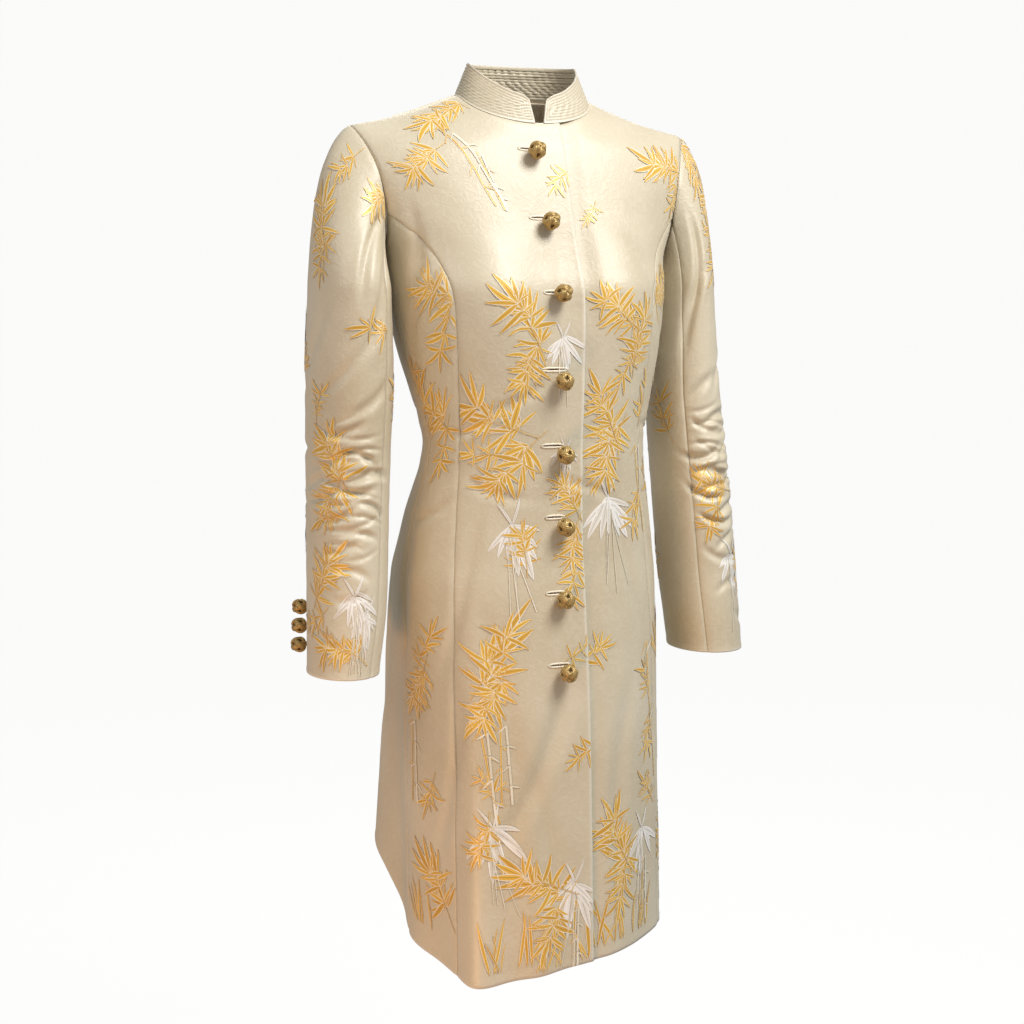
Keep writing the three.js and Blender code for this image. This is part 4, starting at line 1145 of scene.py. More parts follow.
def bamboo_on(panel, clusters, scale):
    """Places clusters on a panel: each leaf's u and v run along the cloth from the cluster's foot and are
    read back as rows and columns of its grid. A leaf stops at a seam that it reaches."""
    points, threads, shades, lengths = [], [], [], []
    columns = np.arange(panel.u.shape[1])
    lines = np.arange(panel.v.shape[0])
    for number, across, z, kind, heading, size in clusters:
        rng = np.random.default_rng(BAMBOO_SEED + number)
        rows = bamboo_cluster(kind, heading, size * scale, rng)
        u, v = leaf_outlines(rows)
        j0, i0 = panel.find(across, z)
        u = u + panel.u[j0, i0]
        v = v + panel.v[j0, i0]
        end_u = panel.u[j0, -1] - LEAF_MARGIN
        end_v = panel.v[-1, i0] - LEAF_MARGIN
        outside = (u < LEAF_MARGIN) | (u > end_u) | (v < LEAF_MARGIN) | (v > end_v)
        kept = outside.mean(axis=(1, 2)) < 0.5
        u = np.clip(u, LEAF_MARGIN, end_u)
        v = np.clip(v, LEAF_MARGIN, end_v)
        i = np.interp(u, panel.u[j0], columns)
        j = np.interp(v, panel.v[:, i0], lines)
        thread = rows[:, 7].astype(int)
        height = THREAD_LIFT["from"] + THREAD_LIFT["rise"] * np.arange(len(rows)) / len(rows)
        lifted = panel.lift(j, i, np.broadcast_to(height[:, None, None], u.shape))
        points.append(lifted[kept])
        threads.append(thread[kept])
        shades.append(rng.uniform(0, 1, len(thread))[kept])
        lengths.append(rows[kept, 3])
    return [np.concatenate(part) for part in (points, threads, shades, lengths)]


# Cut of each piece in metres and square metres: width, length and area before it was sewn
CUTS = {
    "front_right": (0.25, 0.95, 0.145),
    "front_left": (0.25, 0.95, 0.142),
    "side_front_right": (0.12, 0.82, 0.060),
    "side_front_left": (0.12, 0.82, 0.059),
    "back_right": (0.27, 0.92, 0.190),
    "back_left": (0.27, 0.92, 0.190),
    "sleeve_top_right": (0.23, 0.60, 0.092),
    "sleeve_top_left": (0.23, 0.60, 0.086),
    "sleeve_under_right": (0.16, 0.52, 0.070),
    "sleeve_under_left": (0.16, 0.52, 0.067),
    "collar": (0.42, 0.045, 0.0135),
    "neck_facing": (0.24, 0.07, 0.009),
}


# Meshes
def new_object(name, vertices, faces, nodes=()):
    """Object from arrays in millimetres, riding on the jacket and standing for the named solids."""
    mesh = bpy.data.meshes.new(name)
    mesh.from_pydata((np.asarray(vertices).reshape(-1, 3) * MM).tolist(), [], np.asarray(faces).tolist())
    mesh.polygons.foreach_set("use_smooth", np.ones(len(mesh.polygons), bool))
    mesh.update()
    thing = bpy.data.objects.new(name, mesh)
    bpy.context.scene.collection.objects.link(thing)
    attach(thing, "root")
    if nodes:
        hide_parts(*nodes)
    return thing


def grid_faces(rows, columns, close_rows=False, close_columns=False, start=0):
    """Quads of a grid of vertices, closed round either way if asked."""
    index = start + np.arange(rows * columns).reshape(rows, columns)
    if close_rows:
        index = np.concatenate([index, index[:1]])
    if close_columns:
        index = np.concatenate([index, index[:, :1]], axis=1)
    return np.stack([index[:-1, :-1], index[:-1, 1:], index[1:, 1:], index[1:, :-1]], axis=-1).reshape(-1, 4)


def set_uv(mesh, u, v, name="cloth"):
    """UV map from one value pair for each vertex."""
    corner = np.empty(len(mesh.loops), int)
    mesh.loops.foreach_get("vertex_index", corner)
    pair = np.stack([np.ravel(u)[corner], np.ravel(v)[corner]], axis=-1)
    mesh.uv_layers.new(name=name).data.foreach_set("uv", pair.ravel().astype(np.float32))


def set_value(mesh, name, values):
    """Point attribute with one number for each vertex."""
    made = mesh.attributes.new(name, "FLOAT", "POINT")
    made.data.foreach_set("value", np.ravel(values).astype(np.float32))


def close_poles(mesh):
    """Merges vertices that share one place, at leaf tips and poles."""
    shape = bmesh.new()
    shape.from_mesh(mesh)
    bmesh.ops.remove_doubles(shape, verts=shape.verts, dist=1e-7)
    shape.to_mesh(mesh)
    shape.free()


def cloth_object(panel, thickness, face, lining):
    """Thin cloth shell on a panel's outer face, with its reverse on the inside."""
    faces = grid_faces(*panel.u.shape)
    thing = new_object(f"{panel.name}_cloth", panel.points, faces, (panel.name,))
    mesh = thing.data
    set_uv(mesh, panel.u * MM, panel.v * MM)
    # The edge values carry the painted highlight along free edges
    set_value(mesh, "edge", panel.edge)
    if panel.rings is not None:
        set_value(mesh, "rings", panel.rings)
    mesh.materials.append(face)
    mesh.materials.append(lining)
    wall = thing.modifiers.new("cloth thickness", "SOLIDIFY")
    wall.thickness = thickness
    wall.offset = -1
    wall.material_offset = 1
    wall.material_offset_rim = 0
    width, length, area = CUTS[panel.name]
    return thing


# Finishes
def new_material(name, roughness, metallic=0.0, sheen=0.0, specular=0.5):
    """Material with its Principled shader's constant values set, and its node tree."""
    material = bpy.data.materials.new(name)
    material.use_nodes = True
    shader = material.node_tree.nodes["Principled BSDF"]
    shader.inputs["Roughness"].default_value = roughness
    shader.inputs["Metallic"].default_value = metallic
    shader.inputs["Sheen Weight"].default_value = sheen
    shader.inputs["Specular IOR Level"].default_value = specular
    return material, material.node_tree, shader


def node(tree, kind, inputs=None, **settings):
    """Shader node with its settings and its unlinked input values."""
    made = tree.nodes.new(kind)
    for key, value in settings.items():
        setattr(made, key, value)
    for key, value in (inputs or {}).items():
        if isinstance(value, bpy.types.NodeSocket):
            tree.links.new(value, made.inputs[key])
        else:
            made.inputs[key].default_value = value
    return made


def darker(colour, share):
    """Shader colour with each part multiplied by a share."""
    return (*[share * part for part in colour], 1)


def blended(tree, share, first, second):
    """Colour between two colours by a share, either of which may come from another node."""
    made = node(tree, "ShaderNodeMix", {0: share, 6: first, 7: second}, data_type="RGBA")
    return made.outputs[2]


def sums(tree, operation, first, second=0.5):
    """One arithmetic step, with one number or between two."""
    return node(tree, "ShaderNodeMath", {0: first, 1: second}, operation=operation).outputs[0]


def scaled(tree, value, factor):
    """A number times a constant or another number."""
    return sums(tree, "MULTIPLY", value, factor)


def ramp(tree, value, low, high):
    """Share that rises from 0 at low to 1 at high."""
    return node(tree, "ShaderNodeMapRange", {0: value, 1: low, 2: high}).outputs[0]


def object_place(tree):
    """Place on the object, in metres."""
    return node(tree, "ShaderNodeTexCoord").outputs["Object"]


def own_map(tree, name):
    """Place on one of the piece's own UV maps."""
    return node(tree, "ShaderNodeUVMap", uv_map=name).outputs[0]


def attribute(tree, name):
    """Number that the piece holds at each point."""
    return node(tree, "ShaderNodeAttribute", attribute_name=name).outputs["Fac"]


def noise(tree, place, scale, detail, distortion=0.0):
    """Soft irregular pattern."""
    inputs = {"Vector": place, "Scale": scale, "Detail": detail, "Distortion": distortion}
    return node(tree, "ShaderNodeTexNoise", inputs).outputs["Fac"]


def slanted_waves(tree, place, scale, distortion):
    """Slanted bands, for a weave or the plies of a cord."""
    inputs = {"Vector": place, "Scale": scale, "Distortion": distortion}
    return node(tree, "ShaderNodeTexWave", inputs, bands_direction="DIAGONAL").outputs["Fac"]


def link_finish(tree, shader, colour, height, strength, distance):
    """Gives the shader its colour, and a bump from the height."""
    bump = node(tree, "ShaderNodeBump", {"Strength": strength, "Distance": distance, "Height": height})
    tree.links.new(colour, shader.inputs["Base Color"])
    tree.links.new(bump.outputs[0], shader.inputs["Normal"])


def brocade_material(name, ground, shadow, light, rings=False):
    """Satin brocade: warm ground clouded softly, small tone-on-tone figures, a fine satin weave along the
    cloth's own map, and a painted highlight along the turned edges. The collar adds its rows of stitches."""
    material, tree, shader = new_material(name, 0.47, sheen=0.12, specular=0.75)
    place = object_place(tree)
    cloth = own_map(tree, "cloth")
    clouds = noise(tree, place, scale=7.0, detail=3.0)
    figures = noise(tree, place, scale=95.0, detail=2.0, distortion=2.2)
    weave = slanted_waves(tree, cloth, scale=420.0, distortion=1.2)
    colour = blended(tree, ramp(tree, clouds, 0.35, 0.68), (*shadow, 1), (*ground, 1))
    colour = blended(tree, scaled(tree, ramp(tree, figures, 0.5, 0.62), 0.09), colour, (*light, 1))
    # Painted highlight: free edges are blended towards the light tone
    colour = blended(tree, scaled(tree, attribute(tree, "edge"), 0.85), colour, (*light, 1))
    height = sums(tree, "ADD", ramp(tree, figures, 0.42, 0.62), scaled(tree, weave, 0.12))
    if rings:
        pitch = COLLAR_ROWS["pitch"]
        gap = sums(tree, "ADD", attribute(tree, "rings"), pitch - COLLAR_ROWS["from"])
        row = sums(tree, "FRACT", sums(tree, "DIVIDE", gap, pitch))
        row = sums(tree, "ABSOLUTE", sums(tree, "SUBTRACT", row, 0.5))
        along = node(tree, "ShaderNodeSeparateXYZ", {0: cloth}).outputs["X"]
        dash = sums(tree, "FRACT", scaled(tree, along, 380.0))
        stitch = scaled(tree, sums(tree, "LESS_THAN", row, 0.13), sums(tree, "LESS_THAN", dash, 0.68))
        colour = blended(tree, scaled(tree, stitch, 0.8), colour, darker(shadow, 0.72))
        height = sums(tree, "ADD", height, stitch)
    link_finish(tree, shader, colour, height, strength=0.22, distance=0.0005)
    return material


def thread_material(name, dark, light, metallic, roughness, outline=None):
    """Woven figure thread: two tones by each leaf's own shade, with fine specks. Leaves have slanted floats
    of thread on both sides of a vein, and a pale outline, on their own map of length and share across."""
    material, tree, shader = new_material(name, roughness, metallic, sheen=0.1)
    specks = noise(tree, object_place(tree), scale=420.0, detail=2.0)
    share = sums(tree, "ADD", scaled(tree, attribute(tree, "shade"), 0.75), scaled(tree, specks, 0.35))
    colour = blended(tree, share, (*dark, 1), (*light, 1))
    height = specks
    if outline:
        parts = node(tree, "ShaderNodeSeparateXYZ", {0: own_map(tree, "leaf")})
        across = sums(tree, "ABSOLUTE", parts.outputs["Y"])
        slanted = sums(tree, "ADD", scaled(tree, parts.outputs["X"], 650.0), across)
        floats = sums(tree, "PINGPONG", slanted, 0.5)
        colour = blended(tree, scaled(tree, ramp(tree, floats, 0.35, 0.0), 0.35), colour, (*dark, 1))
        colour = blended(tree, ramp(tree, across, 0.16, 0.04), colour, darker(dark, 0.7))
        colour = blended(tree, ramp(tree, across, 0.66, 0.80), colour, (*outline, 1))
        height = sums(tree, "ADD", specks, floats)
    link_finish(tree, shader, colour, height, strength=0.4, distance=0.0003)
    return material


def plain_cloth_material(name, light, dark):
    """Plain woven cloth: a small crossed weave over soft clouding."""
    material, tree, shader = new_material(name, 0.72, sheen=0.3)
    place = object_place(tree)
    clouds = noise(tree, place, scale=30.0, detail=3.0)
    weave = slanted_waves(tree, place, scale=500.0, distortion=1.0)
    colour = blended(tree, ramp(tree, clouds, 0.3, 0.7), (*dark, 1), (*light, 1))
    link_finish(tree, shader, colour, weave, strength=0.3, distance=0.0003)
    return material


def cord_material(name, light, dark):
    """Antique gold cord: plied strands along its own map, worn unevenly, and darkened as painted shade on
    the core seen in the recesses.
    """
    material, tree, shader = new_material(name, 0.42, 0.45)
    plies = slanted_waves(tree, own_map(tree, "cloth"), scale=260.0, distortion=0.6)
    wear = noise(tree, object_place(tree), scale=160.0, detail=3.0)
    share = sums(tree, "ADD", scaled(tree, plies, 0.35), scaled(tree, wear, 0.6))
    colour = blended(tree, share, (*dark, 1), (*light, 1))
    # Painted shade: the core seen between the strands is darkened
    colour = blended(tree, attribute(tree, "hollow"), colour, darker(dark, 0.45))
    height = sums(tree, "ADD", plies, scaled(tree, wear, 0.5))
    link_finish(tree, shader, colour, height, strength=0.6, distance=0.0004)
    return material


# Knot buttons and buttonholes
def swept(path, outward, half_width, half_thickness, sides=10, closed=True):
    """Band carried along a path: an ellipse across the path, wide along the surface and thin outwards."""
    ahead = np.roll(path, -1, axis=0) - np.roll(path, 1, axis=0) if closed else np.gradient(path, axis=0)
    ahead = unit(ahead)
    across = unit(np.cross(outward, ahead))
    up = unit(np.cross(ahead, across))
    a = np.linspace(0, 2 * np.pi, sides, endpoint=False)[None, :, None]
    half_width = np.broadcast_to(half_width, len(path))[:, None, None]
    wide = across[:, None] * half_width * np.cos(a)
    thick = up[:, None] * half_thickness * np.sin(a)
    return path[:, None] + wide + thick


def frame_about(direction):
    """Three axes with the third along a direction."""
    third = unit(np.asarray(direction, float))
    first = unit(np.cross(np.array([0.2, 0.1, 1.0]), third))
    return np.stack([first, np.cross(third, first), third])


def knot_button(seat, direction, radius, shank, cord):
    """Knot of cord: one closed strand that runs three times round a ball while it swings four times up and
    down, passing over and under itself, on a core darkened as painted shade in the recesses, with a short
    loop of cord down to its seat."""
    axes = frame_about(direction)
    t = np.linspace(0, 2 * np.pi, 300, endpoint=False)
    turn = KNOT["turns"] * t
    rise = math.radians(KNOT["swing"]) * np.cos(KNOT["swings"] * t)
    outward = np.stack([np.cos(rise) * np.cos(turn), np.cos(rise) * np.sin(turn), np.sin(rise)], axis=-1)
    ball = radius - cord["thickness"] - KNOT["clear"]
    path = outward * (ball + KNOT["weave"] * np.sin(2 * KNOT["swings"] * t))[:, None]
    strand = swept(path, outward, cord["width"], cord["thickness"])
    lat = np.linspace(-np.pi / 2, np.pi / 2, 14)[:, None]
    lon = np.linspace(0, 2 * np.pi, 24, endpoint=False)[None]
    core = np.stack([np.cos(lat) * np.cos(lon), np.cos(lat) * np.sin(lon), np.sin(lat) + 0 * lon], axis=-1)
    core = core * (ball - KNOT["core_below"])
    lower = -(shank + radius) + LOOP["off_seat"]
    upper = ball * LOOP["from_knot"]
    t = np.linspace(0, np.pi, 24)
    loop = np.stack([LOOP["half_width"] * np.cos(t), 0 * t, -upper + (lower + upper) * np.sin(t)], axis=-1)
    taper = LOOP["cord"] * np.sqrt(1 - np.linspace(-1, 1, len(loop)) ** 8)
    beside = np.broadcast_to([0.0, 1.0, 0.0], loop.shape)
    loop = swept(loop, beside, taper, taper[:, None, None], sides=8, closed=False)
    centre = np.asarray(seat) + unit(np.asarray(direction, float)) * (shank + radius)
    # The third value marks the core, which the cord's finish darkens as painted shade in the recesses
    shapes = ((strand, True, 0.0), (core, False, 1.0), (loop, False, 0.0))
    vertices, faces, hollow, along, around = [], [], [], [], []
    start = 0
    for points, ring, inner in shapes:
        rows, columns = points.shape[:2]
        vertices.append((points.reshape(-1, 3) @ axes) + centre)
        faces.append(grid_faces(rows, columns, ring, True, start))
        hollow.append(np.full(rows * columns, inner))
        along.append(np.repeat(np.linspace(0, 0.15, rows), columns))
        around.append(np.tile(np.linspace(0, 0.018, columns), rows))
        start += rows * columns
    return [np.concatenate(part) for part in (vertices, faces, hollow, along, around)]


def front_button_seats():
    """Seat and direction of each front button, as the solids have them; those that hang are tipped down."""
    rows = zip(*(BUTTONS[c] for c in ("z", "x", "lean", "hangs")))
    for k, (z, x, lean, hangs) in enumerate(rows):
        angle = angle_at(x, z)
        normal = body_normal(angle, z)
        slope = math.radians(HANG_SLOPE if hangs else 0)
        seat = body_point(angle, z) + normal * (SEAT_GAP + SHANK["radius"] * math.sin(slope))
        down = np.array([math.sin(math.radians(lean)), 0, -math.cos(math.radians(lean))])
        down = unit(down - normal * np.dot(down, normal))
        direction = unit(normal * math.cos(slope) + down * math.sin(slope))
        yield f"button_{k + 1}", seat, direction, BUTTON_RADIUS, SHANK["hanging" if hangs else "standing"]


def cuff_button_seats(side):
    """Seat and direction of each cuff button beside the back seam of a sleeve."""
    arm = SLEEVE[side]
    for k, z in enumerate(CUFF_BUTTON_HEIGHTS):
        part = (arm["z"][0] - z) / (arm["z"][0] - arm["z"][-1])
        turn = mix(SLEEVE_SEAM["back_top"], SLEEVE_SEAM["back_cuff"], part) + CUFF_BUTTON_TURN
        seat = sleeve_section(side, np.array(turn), np.array(float(z)))
        centre = np.array([side * read(arm, "z", z, "x"), read(arm, "z", z, "y"), z])
        direction = unit(seat - centre)
        name = f"cuff_button_{word_for(side)}_{k + 1}"
        yield name, seat + direction * SEAT_GAP, direction, CUFF_BUTTON_RADIUS, SHANK["standing"]


def buttonhole(panel, z, start, end):
    """Buttonhole rim: a bead of close stitches round a long oval, and the dark slot inside it as painted
    shade in the opening.
    """
    j0, i0 = panel.find((start + end) / 2, z)
    slope = np.gradient(panel.heights[j0], panel.u[j0])[i0]
    half_length = abs(end - start) / 2 + HOLE_RIM["past_ends"]
    half_height = HOLE_RIM["half_height"]
    columns = np.arange(panel.u.shape[1])
    rows = np.arange(panel.v.shape[0])

    def laid(u, v, height):
        i = np.interp(panel.u[j0, i0] + u, panel.u[j0], columns)
        j = np.interp(panel.v[j0, i0] + v - slope * u, panel.v[:, i0], rows)
        return panel.lift(j, i, height)

    a = np.linspace(0, 2 * np.pi, 2 * HOLE_RIM["stitches"], endpoint=False)[:, None]
    b = np.linspace(0, 2 * np.pi, 8, endpoint=False)[None]
    bead = HOLE_RIM["bead"] + HOLE_RIM["wave"] * np.cos(HOLE_RIM["stitches"] * a)
    flat = np.abs(np.cos(a)) ** HOLE_RIM["corner"] * np.sign(np.cos(a))
    u = flat * (half_length + bead * np.cos(b))
    v = np.sin(a) * (half_height + bead * np.cos(b))
    rim = laid(u, v, HOLE_LIFT["rim"] + HOLE_LIFT["bead"] * bead * np.sin(b))
    share = np.linspace(0, 1, 5)[None]
    u = flat * (half_length - 0.2) * share
    v = np.sin(a) * (half_height - 0.15) * share
    slot = laid(u, v, np.full(u.shape, HOLE_LIFT["slot"]))
    return rim, slot


# Settings a user would change
def colour_setting(name, description, default):
    """Colour property of a settings group."""
    return FloatVectorProperty(name=name, description=description, default=default, subtype="COLOR")


def length_setting(name, description, default):
    """Length property of a settings group, in metres."""
    return FloatProperty(name=name, description=description, default=default, unit="LENGTH")


class JacketCloth(bpy.types.PropertyGroup):
    """Sizes and colours of the cloth."""

    thickness: length_setting("Cloth thickness", "Thickness of the brocade", 0.0014)
    ground: colour_setting("Ground", "Satin ground of the brocade", (0.61, 0.545, 0.41))
    shadow: colour_setting("Shadow", "Deeper tone that clouds the ground", (0.53, 0.455, 0.32))
    # The light tone colours the small figures, and is also the painted highlight along free edges
    light: colour_setting("Light", "Palest tone, on edges and small figures", (0.82, 0.77, 0.66))
    # The facing colour is the plain cloth's own pale tone, made lighter still as painted light for the
    # shaded inside of the neck and the reverse
    facing: colour_setting("Facing", "Plain cloth inside the neck and the reverse", (0.84, 0.74, 0.57))


class JacketBamboo(bpy.types.PropertyGroup):
    """Sizes and colours of the woven bamboo."""

    scale: FloatProperty(name="Leaf scale", description="Size of all leaves", default=1.0, min=0.2, max=2.0)
    gold: colour_setting("Gold", "Bright gold thread", (0.86, 0.55, 0.09))
    old_gold: colour_setting("Old gold", "Deeper gold thread", (0.60, 0.33, 0.045))
    white: colour_setting("White", "White thread", (0.84, 0.82, 0.79))


class JacketButtons(bpy.types.PropertyGroup):
    """Sizes and colours of the knot buttons and their holes."""

    strand_width: length_setting("Strand width", "Half width of the cord", 0.0030)
    strand_thickness: length_setting("Strand thickness", "Half thickness of the cord", 0.0014)
    cord_light: colour_setting("Cord, light", "Lit gold of the cord", (0.62, 0.45, 0.18))
    # The dark cord tone is the worn gold, and the base of the painted shade on the core in the recesses
    cord_dark: colour_setting("Cord, dark", "Worn gold in the recesses", (0.27, 0.165, 0.05))
    rim: colour_setting("Rim", "Buttonhole thread", (0.86, 0.80, 0.66))


class JacketStage(bpy.types.PropertyGroup):
    """Camera, lights and floor."""

    lens: FloatProperty(name="Lens", description="Focal length in mm on a 36 mm sensor", default=61.45)
    floor_drop: length_setting("Floor", "Depth of the floor below the shoulders", 1.36)
    key_power: FloatProperty(name="Key light", description="Power of the main light in watts", default=52.0)


# Lights: place and target in metres, size, share of the key light's power, and colour
LIGHTS = {
    "key": ((0.66, -1.25, 1.32), (0.0, 0.0, -0.12), 0.9, 1.0, (1.0, 0.99, 0.965)),
    "right_side": ((-1.5, -0.5, 0.5), (0.0, 0.0, -0.4), 0.6, 0.10, (1.0, 0.98, 0.95)),
    "warm_low": ((-0.9, -0.7, -1.2), (-0.12, 0.0, -0.8), 0.4, 0.12, (1.0, 0.50, 0.18)),
    "back": ((0.5, 1.7, 0.8), (0.0, 0.0, -0.3), 1.2, 0.25, (1.0, 0.98, 0.95)),
}
WORLD = {"colour": (1.0, 0.99, 0.975, 1), "strength": 0.36}
FLOOR = {"colour": (0.08, 0.08, 0.08, 1), "glow": (1.0, 1.0, 0.995, 1), "strength": 0.93}
CAMERA = {"place": (-0.6964, -1.7578, -0.187), "down": 7.24, "turn": -21.205, "sensor": 36}

PANELS = {}


def cloth_panels():
    """All cloth panels of the jacket, worked out once."""
    if not PANELS:
        made = [collar_panel(), facing_panel()]
        for side in (-1, 1):
            made += [front_panel(side), side_front_panel(side), back_panel(side)]
            made += [sleeve_panel(side, True), sleeve_panel(side, False)]
        PANELS.update({panel.name: panel for panel in made})
    return PANELS


FINISHES = {}


def finish_for(key):
    """Materials shared by the pieces, made once from the settings."""
    cloth = bpy.context.scene.jacket_cloth
    bamboo = bpy.context.scene.jacket_bamboo
    buttons = bpy.context.scene.jacket_buttons
    if not FINISHES:
        tones = (tuple(cloth.ground), tuple(cloth.shadow), tuple(cloth.light))
        FINISHES["brocade"] = brocade_material("satin_brocade", *tones)
        FINISHES["collar"] = brocade_material("stitched_collar_brocade", *tones, rings=True)
        # The facing tones are lightened as painted light where the inside of the neck and the reverse lie in
        # shade
        FINISHES["facing"] = plain_cloth_material("plain_facing", tuple(cloth.facing), (0.74, 0.63, 0.46))
        gold = (tuple(bamboo.old_gold), tuple(bamboo.gold))
        white = ((0.66, 0.61, 0.53), tuple(bamboo.white))
        pale = (tuple(cloth.ground), tuple(cloth.light))
        cord = (tuple(buttons.cord_light), tuple(buttons.cord_dark))
        rim = ((0.74, 0.66, 0.5), tuple(buttons.rim))
        FINISHES["gold"] = thread_material("gold_thread", *gold, 0.1, 0.42, outline=pale[1])
        FINISHES["white"] = thread_material("white_thread", *white, 0.0, 0.45, outline=(0.88, 0.86, 0.83))
        FINISHES["line"] = thread_material("pale_thread", *pale, 0.0, 0.45)
        FINISHES["cord"] = cord_material("antique_gold_cord", *cord)
        FINISHES["rim"] = thread_material("buttonhole_thread", *rim, 0.0, 0.5)
        FINISHES["slot"] = plain_cloth_material("slot_shadow", (0.05, 0.035, 0.02), (0.03, 0.02, 0.012))
    return FINISHES[key]


def brocade_pieces(context, kinds):
    """Right and left pieces of each kind in brocade, with the plain reverse inside."""
    thickness = context.scene.jacket_cloth.thickness
    for piece in kinds:
        for word in ("right", "left"):
            panel = cloth_panels()[f"{piece}_{word}"]
            cloth_object(panel, thickness, finish_for("brocade"), finish_for("facing"))


class JACKET_OT_body(bpy.types.Operator):
    """Fronts, side fronts and backs as thin cloth"""

    bl_idname = "jacket.body"
    bl_label = "Body panels"

    def execute(self, context):
        brocade_pieces(context, ("front", "side_front", "back"))
        return {"FINISHED"}


class JACKET_OT_sleeves(bpy.types.Operator):
    """Top and under sleeves as thin cloth"""

    bl_idname = "jacket.sleeves"
    bl_label = "Sleeves"

    def execute(self, context):
        brocade_pieces(context, ("sleeve_top", "sleeve_under"))
        return {"FINISHED"}


class JACKET_OT_collar(bpy.types.Operator):
    """Stand collar with its stitched rows, and the facing inside the back neck"""

    bl_idname = "jacket.collar"
    bl_label = "Collar and neck facing"

    def execute(self, context):
        collar = cloth_panels()["collar"]
        facing = cloth_panels()["neck_facing"]
        plain = finish_for("facing")
        thickness = OTHER_CLOTH["collar"] * MM
        cloth_object(collar, thickness, finish_for("collar"), finish_for("brocade"))
        cloth_object(facing, OTHER_CLOTH["facing"] * MM, plain, plain)
        return {"FINISHED"}


class JACKET_OT_bamboo(bpy.types.Operator):
    """Woven bamboo in gold, white and pale thread on every panel"""

    bl_idname = "jacket.bamboo"
    bl_label = "Woven bamboo"

    def execute(self, context):
        scale = context.scene.jacket_bamboo.scale
        count = LEAF_STATIONS * len(LEAF_ACROSS)
        one = grid_faces(LEAF_STATIONS, len(LEAF_ACROSS))[:, ::-1]
        starts = accumulate((len(rows) for rows in BAMBOO.values()), initial=0)
        for name, start in sorted(zip(BAMBOO, starts)):
            clusters = [(start + k, *row) for k, row in enumerate(BAMBOO[name])]
            points, threads, shades, lengths = bamboo_on(cloth_panels()[name], clusters, scale)
            faces = (one[None] + count * np.arange(len(points))[:, None, None]).reshape(-1, 4)
            thing = new_object(f"bamboo_{name}", points, faces)
            mesh = thing.data
            for key in ("gold", "white", "line"):
                mesh.materials.append(finish_for(key))
            mesh.polygons.foreach_set("material_index", np.repeat(threads, len(one)).astype(np.int32))
            set_value(mesh, "shade", np.repeat(shades, count))
            along = np.linspace(0, MM, LEAF_STATIONS)[None, :, None] * lengths[:, None, None]
            set_uv(mesh, *np.broadcast_arrays(along, LEAF_ACROSS), name="leaf")
            close_poles(mesh)
        return {"FINISHED"}


class JACKET_OT_buttonholes(bpy.types.Operator):
    """Stitched buttonholes in the right front"""

    bl_idname = "jacket.buttonholes"
    bl_label = "Buttonholes"

    def execute(self, context):
        panel = cloth_panels()["front_right"]
        for k, (z, start, end) in enumerate(zip(HOLES["z"], HOLES["from"], HOLES["to"])):
            rim, slot = buttonhole(panel, z, start, end)
            ring = grid_faces(*rim.shape[:2], True, True)[:, ::-1]
            hole = grid_faces(*slot.shape[:2], True, False, rim.shape[0] * rim.shape[1])
            vertices = np.concatenate([rim.reshape(-1, 3), slot.reshape(-1, 3)])
            thing = new_object(f"buttonhole_{k + 1}", vertices, np.concatenate([ring, hole]))
            thing.data.materials.append(finish_for("rim"))
            thing.data.materials.append(finish_for("slot"))
            kinds = np.concatenate([np.zeros(len(ring)), np.ones(len(hole))]).astype(np.int32)
            thing.data.polygons.foreach_set("material_index", kinds)
            set_value(thing.data, "shade", np.full(len(vertices), 0.7))
            close_poles(thing.data)
        return {"FINISHED"}


class JACKET_OT_knot_buttons(bpy.types.Operator):
    """Corded knot buttons down the front and at the cuffs"""

    bl_idname = "jacket.knot_buttons"
    bl_label = "Knot buttons"

    def execute(self, context):
        buttons = context.scene.jacket_buttons
        seats = [*front_button_seats(), *cuff_button_seats(-1), *cuff_button_seats(1)]
        for name, seat, direction, radius, shank in seats:
            share = radius / BUTTON_RADIUS
            cord = {
                "width": buttons.strand_width / MM * share,
                "thickness": buttons.strand_thickness / MM * share,
            }
            vertices, faces, hollow, along, around = knot_button(seat, direction, radius, shank, cord)
            thing = new_object(f"{name}_knot", vertices, faces, (name,))
            set_uv(thing.data, along, around)
            # These values mark the core for its painted shade
            set_value(thing.data, "hollow", hollow)
            close_poles(thing.data)
            thing.data.materials.append(finish_for("cord"))
        return {"FINISHED"}


def area_light(name, place, target, size, power, colour):
    """Soft square light that faces a point."""
    lamp = bpy.data.lights.new(name, "AREA")
    lamp.size = size
    lamp.energy = power
    lamp.color = colour
    holder = bpy.data.objects.new(name, lamp)
    holder.location = place
    ahead = np.array(target) - np.array(place)
    climb = math.atan2(ahead[2], math.hypot(ahead[0], ahead[1]))
    holder.rotation_euler = (math.pi / 2 + climb, 0, -math.atan2(ahead[0], ahead[1]))
    bpy.context.scene.collection.objects.link(holder)


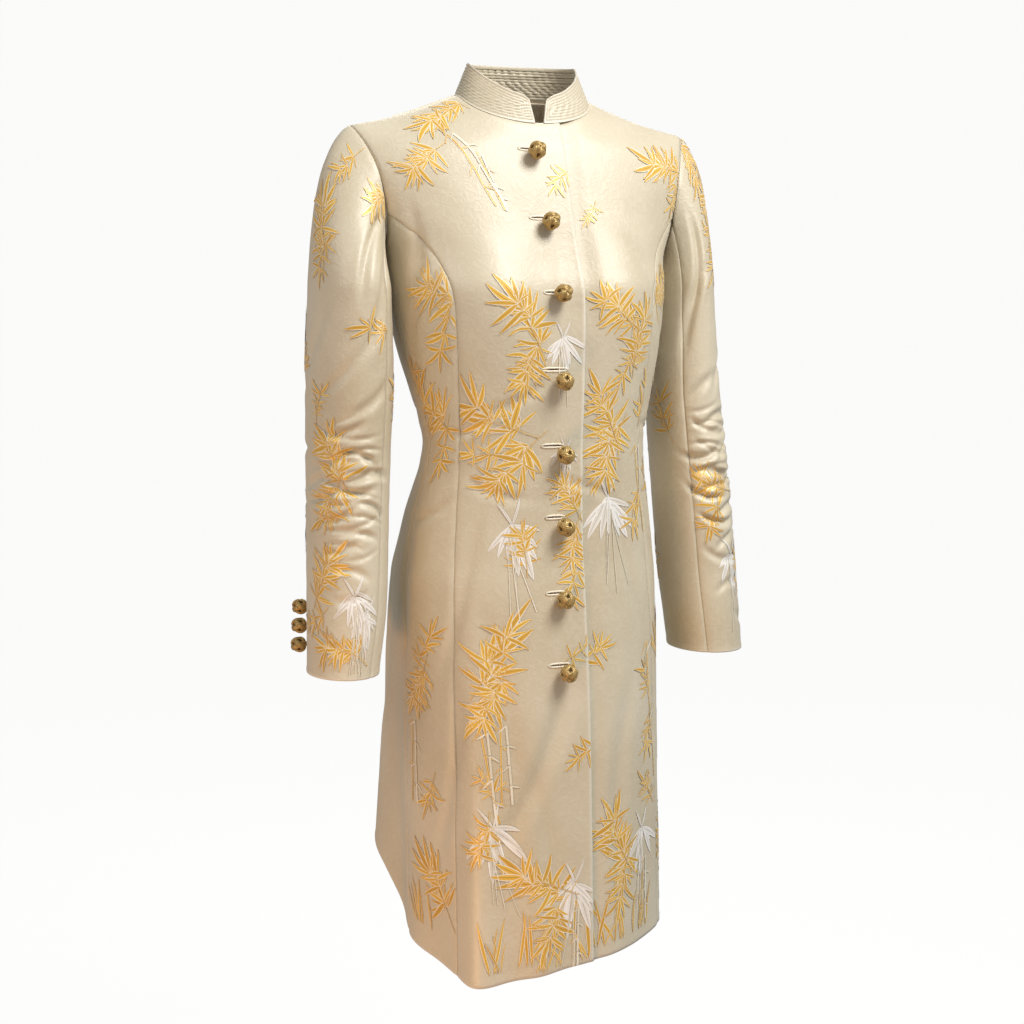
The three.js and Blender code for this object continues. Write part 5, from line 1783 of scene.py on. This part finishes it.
class JACKET_OT_stage(bpy.types.Operator):
    """Pale floor and backdrop, soft lights and the camera"""

    bl_idname = "jacket.stage"
    bl_label = "Stage"

    def execute(self, context):
        settings = context.scene.jacket_stage
        across = np.linspace(-9, 9, 25)[None]
        along = np.linspace(0, 1, 60)[:, None]
        depth = -8 + 17 * np.minimum(along / 0.7, 1)
        rise = 9 * np.maximum(along - 0.62, 0) ** 2 / 0.1
        points = np.stack(np.broadcast_arrays(across, depth, rise - settings.floor_drop), axis=-1) / MM
        mesh = bpy.data.meshes.new("floor")
        mesh.from_pydata((points.reshape(-1, 3) * MM).tolist(), [], grid_faces(60, 25).tolist())
        mesh.polygons.foreach_set("use_smooth", np.ones(len(mesh.polygons), bool))
        floor = bpy.data.objects.new("floor", mesh)
        context.scene.collection.objects.link(floor)
        floor.visible_diffuse = False
        floor.visible_glossy = False
        pale, _, shader = new_material("pale_floor", 0.9, specular=0.0)
        shader.inputs["Base Color"].default_value = FLOOR["colour"]
        shader.inputs["Emission Color"].default_value = FLOOR["glow"]
        shader.inputs["Emission Strength"].default_value = FLOOR["strength"]
        mesh.materials.append(pale)

        world = bpy.data.worlds.new("studio")
        world.use_nodes = True
        background = world.node_tree.nodes["Background"]
        background.inputs["Color"].default_value = WORLD["colour"]
        background.inputs["Strength"].default_value = WORLD["strength"]
        context.scene.world = world
        context.scene.view_settings.view_transform = "Standard"
        for name, (place, target, size, share, colour) in LIGHTS.items():
            area_light(name, place, target, size, settings.key_power * share, colour)

        camera = bpy.data.cameras.new("camera")
        camera.lens = settings.lens
        camera.sensor_width = CAMERA["sensor"]
        holder = bpy.data.objects.new("camera", camera)
        holder.location = CAMERA["place"]
        holder.rotation_euler = (math.radians(90 - CAMERA["down"]), 0, math.radians(CAMERA["turn"]))
        context.scene.collection.objects.link(holder)
        context.scene.camera = holder
        return {"FINISHED"}


class VIEW3D_PT_jacket(bpy.types.Panel):
    """Sidebar panel with the jacket's settings and its pieces"""

    bl_label = "Jacket"
    bl_space_type = "VIEW_3D"
    bl_region_type = "UI"
    bl_category = "Jacket"

    def draw(self, context):
        for key in ("jacket_cloth", "jacket_bamboo", "jacket_buttons", "jacket_stage"):
            group = getattr(context.scene, key)
            box = self.layout.box()
            for name in group.__annotations__:
                box.prop(group, name)
        for operator in OPERATORS:
            self.layout.operator(operator.bl_idname)


OPERATORS = (
    JACKET_OT_stage,
    JACKET_OT_body,
    JACKET_OT_sleeves,
    JACKET_OT_collar,
    JACKET_OT_bamboo,
    JACKET_OT_buttonholes,
    JACKET_OT_knot_buttons,
)
GROUPS = {
    "jacket_cloth": JacketCloth,
    "jacket_bamboo": JacketBamboo,
    "jacket_buttons": JacketButtons,
    "jacket_stage": JacketStage,
}


def register():
    """Registers the settings, the operators and the panel."""
    for kind in (*GROUPS.values(), *OPERATORS, VIEW3D_PT_jacket):
        bpy.utils.register_class(kind)
    for name, kind in GROUPS.items():
        setattr(bpy.types.Scene, name, PointerProperty(type=kind))


def unregister():
    """Takes them away again."""
    for name in GROUPS:
        delattr(bpy.types.Scene, name)
    for kind in (VIEW3D_PT_jacket, *reversed(OPERATORS), *reversed(list(GROUPS.values()))):
        bpy.utils.unregister_class(kind)


def main():
    """Registers the add-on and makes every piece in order."""
    register()
    bpy.ops.jacket.stage()
    bpy.ops.jacket.body()
    bpy.ops.jacket.sleeves()
    bpy.ops.jacket.collar()
    bpy.ops.jacket.bamboo()
    bpy.ops.jacket.buttonholes()
    bpy.ops.jacket.knot_buttons()


if __name__ == "__main__":
    main()
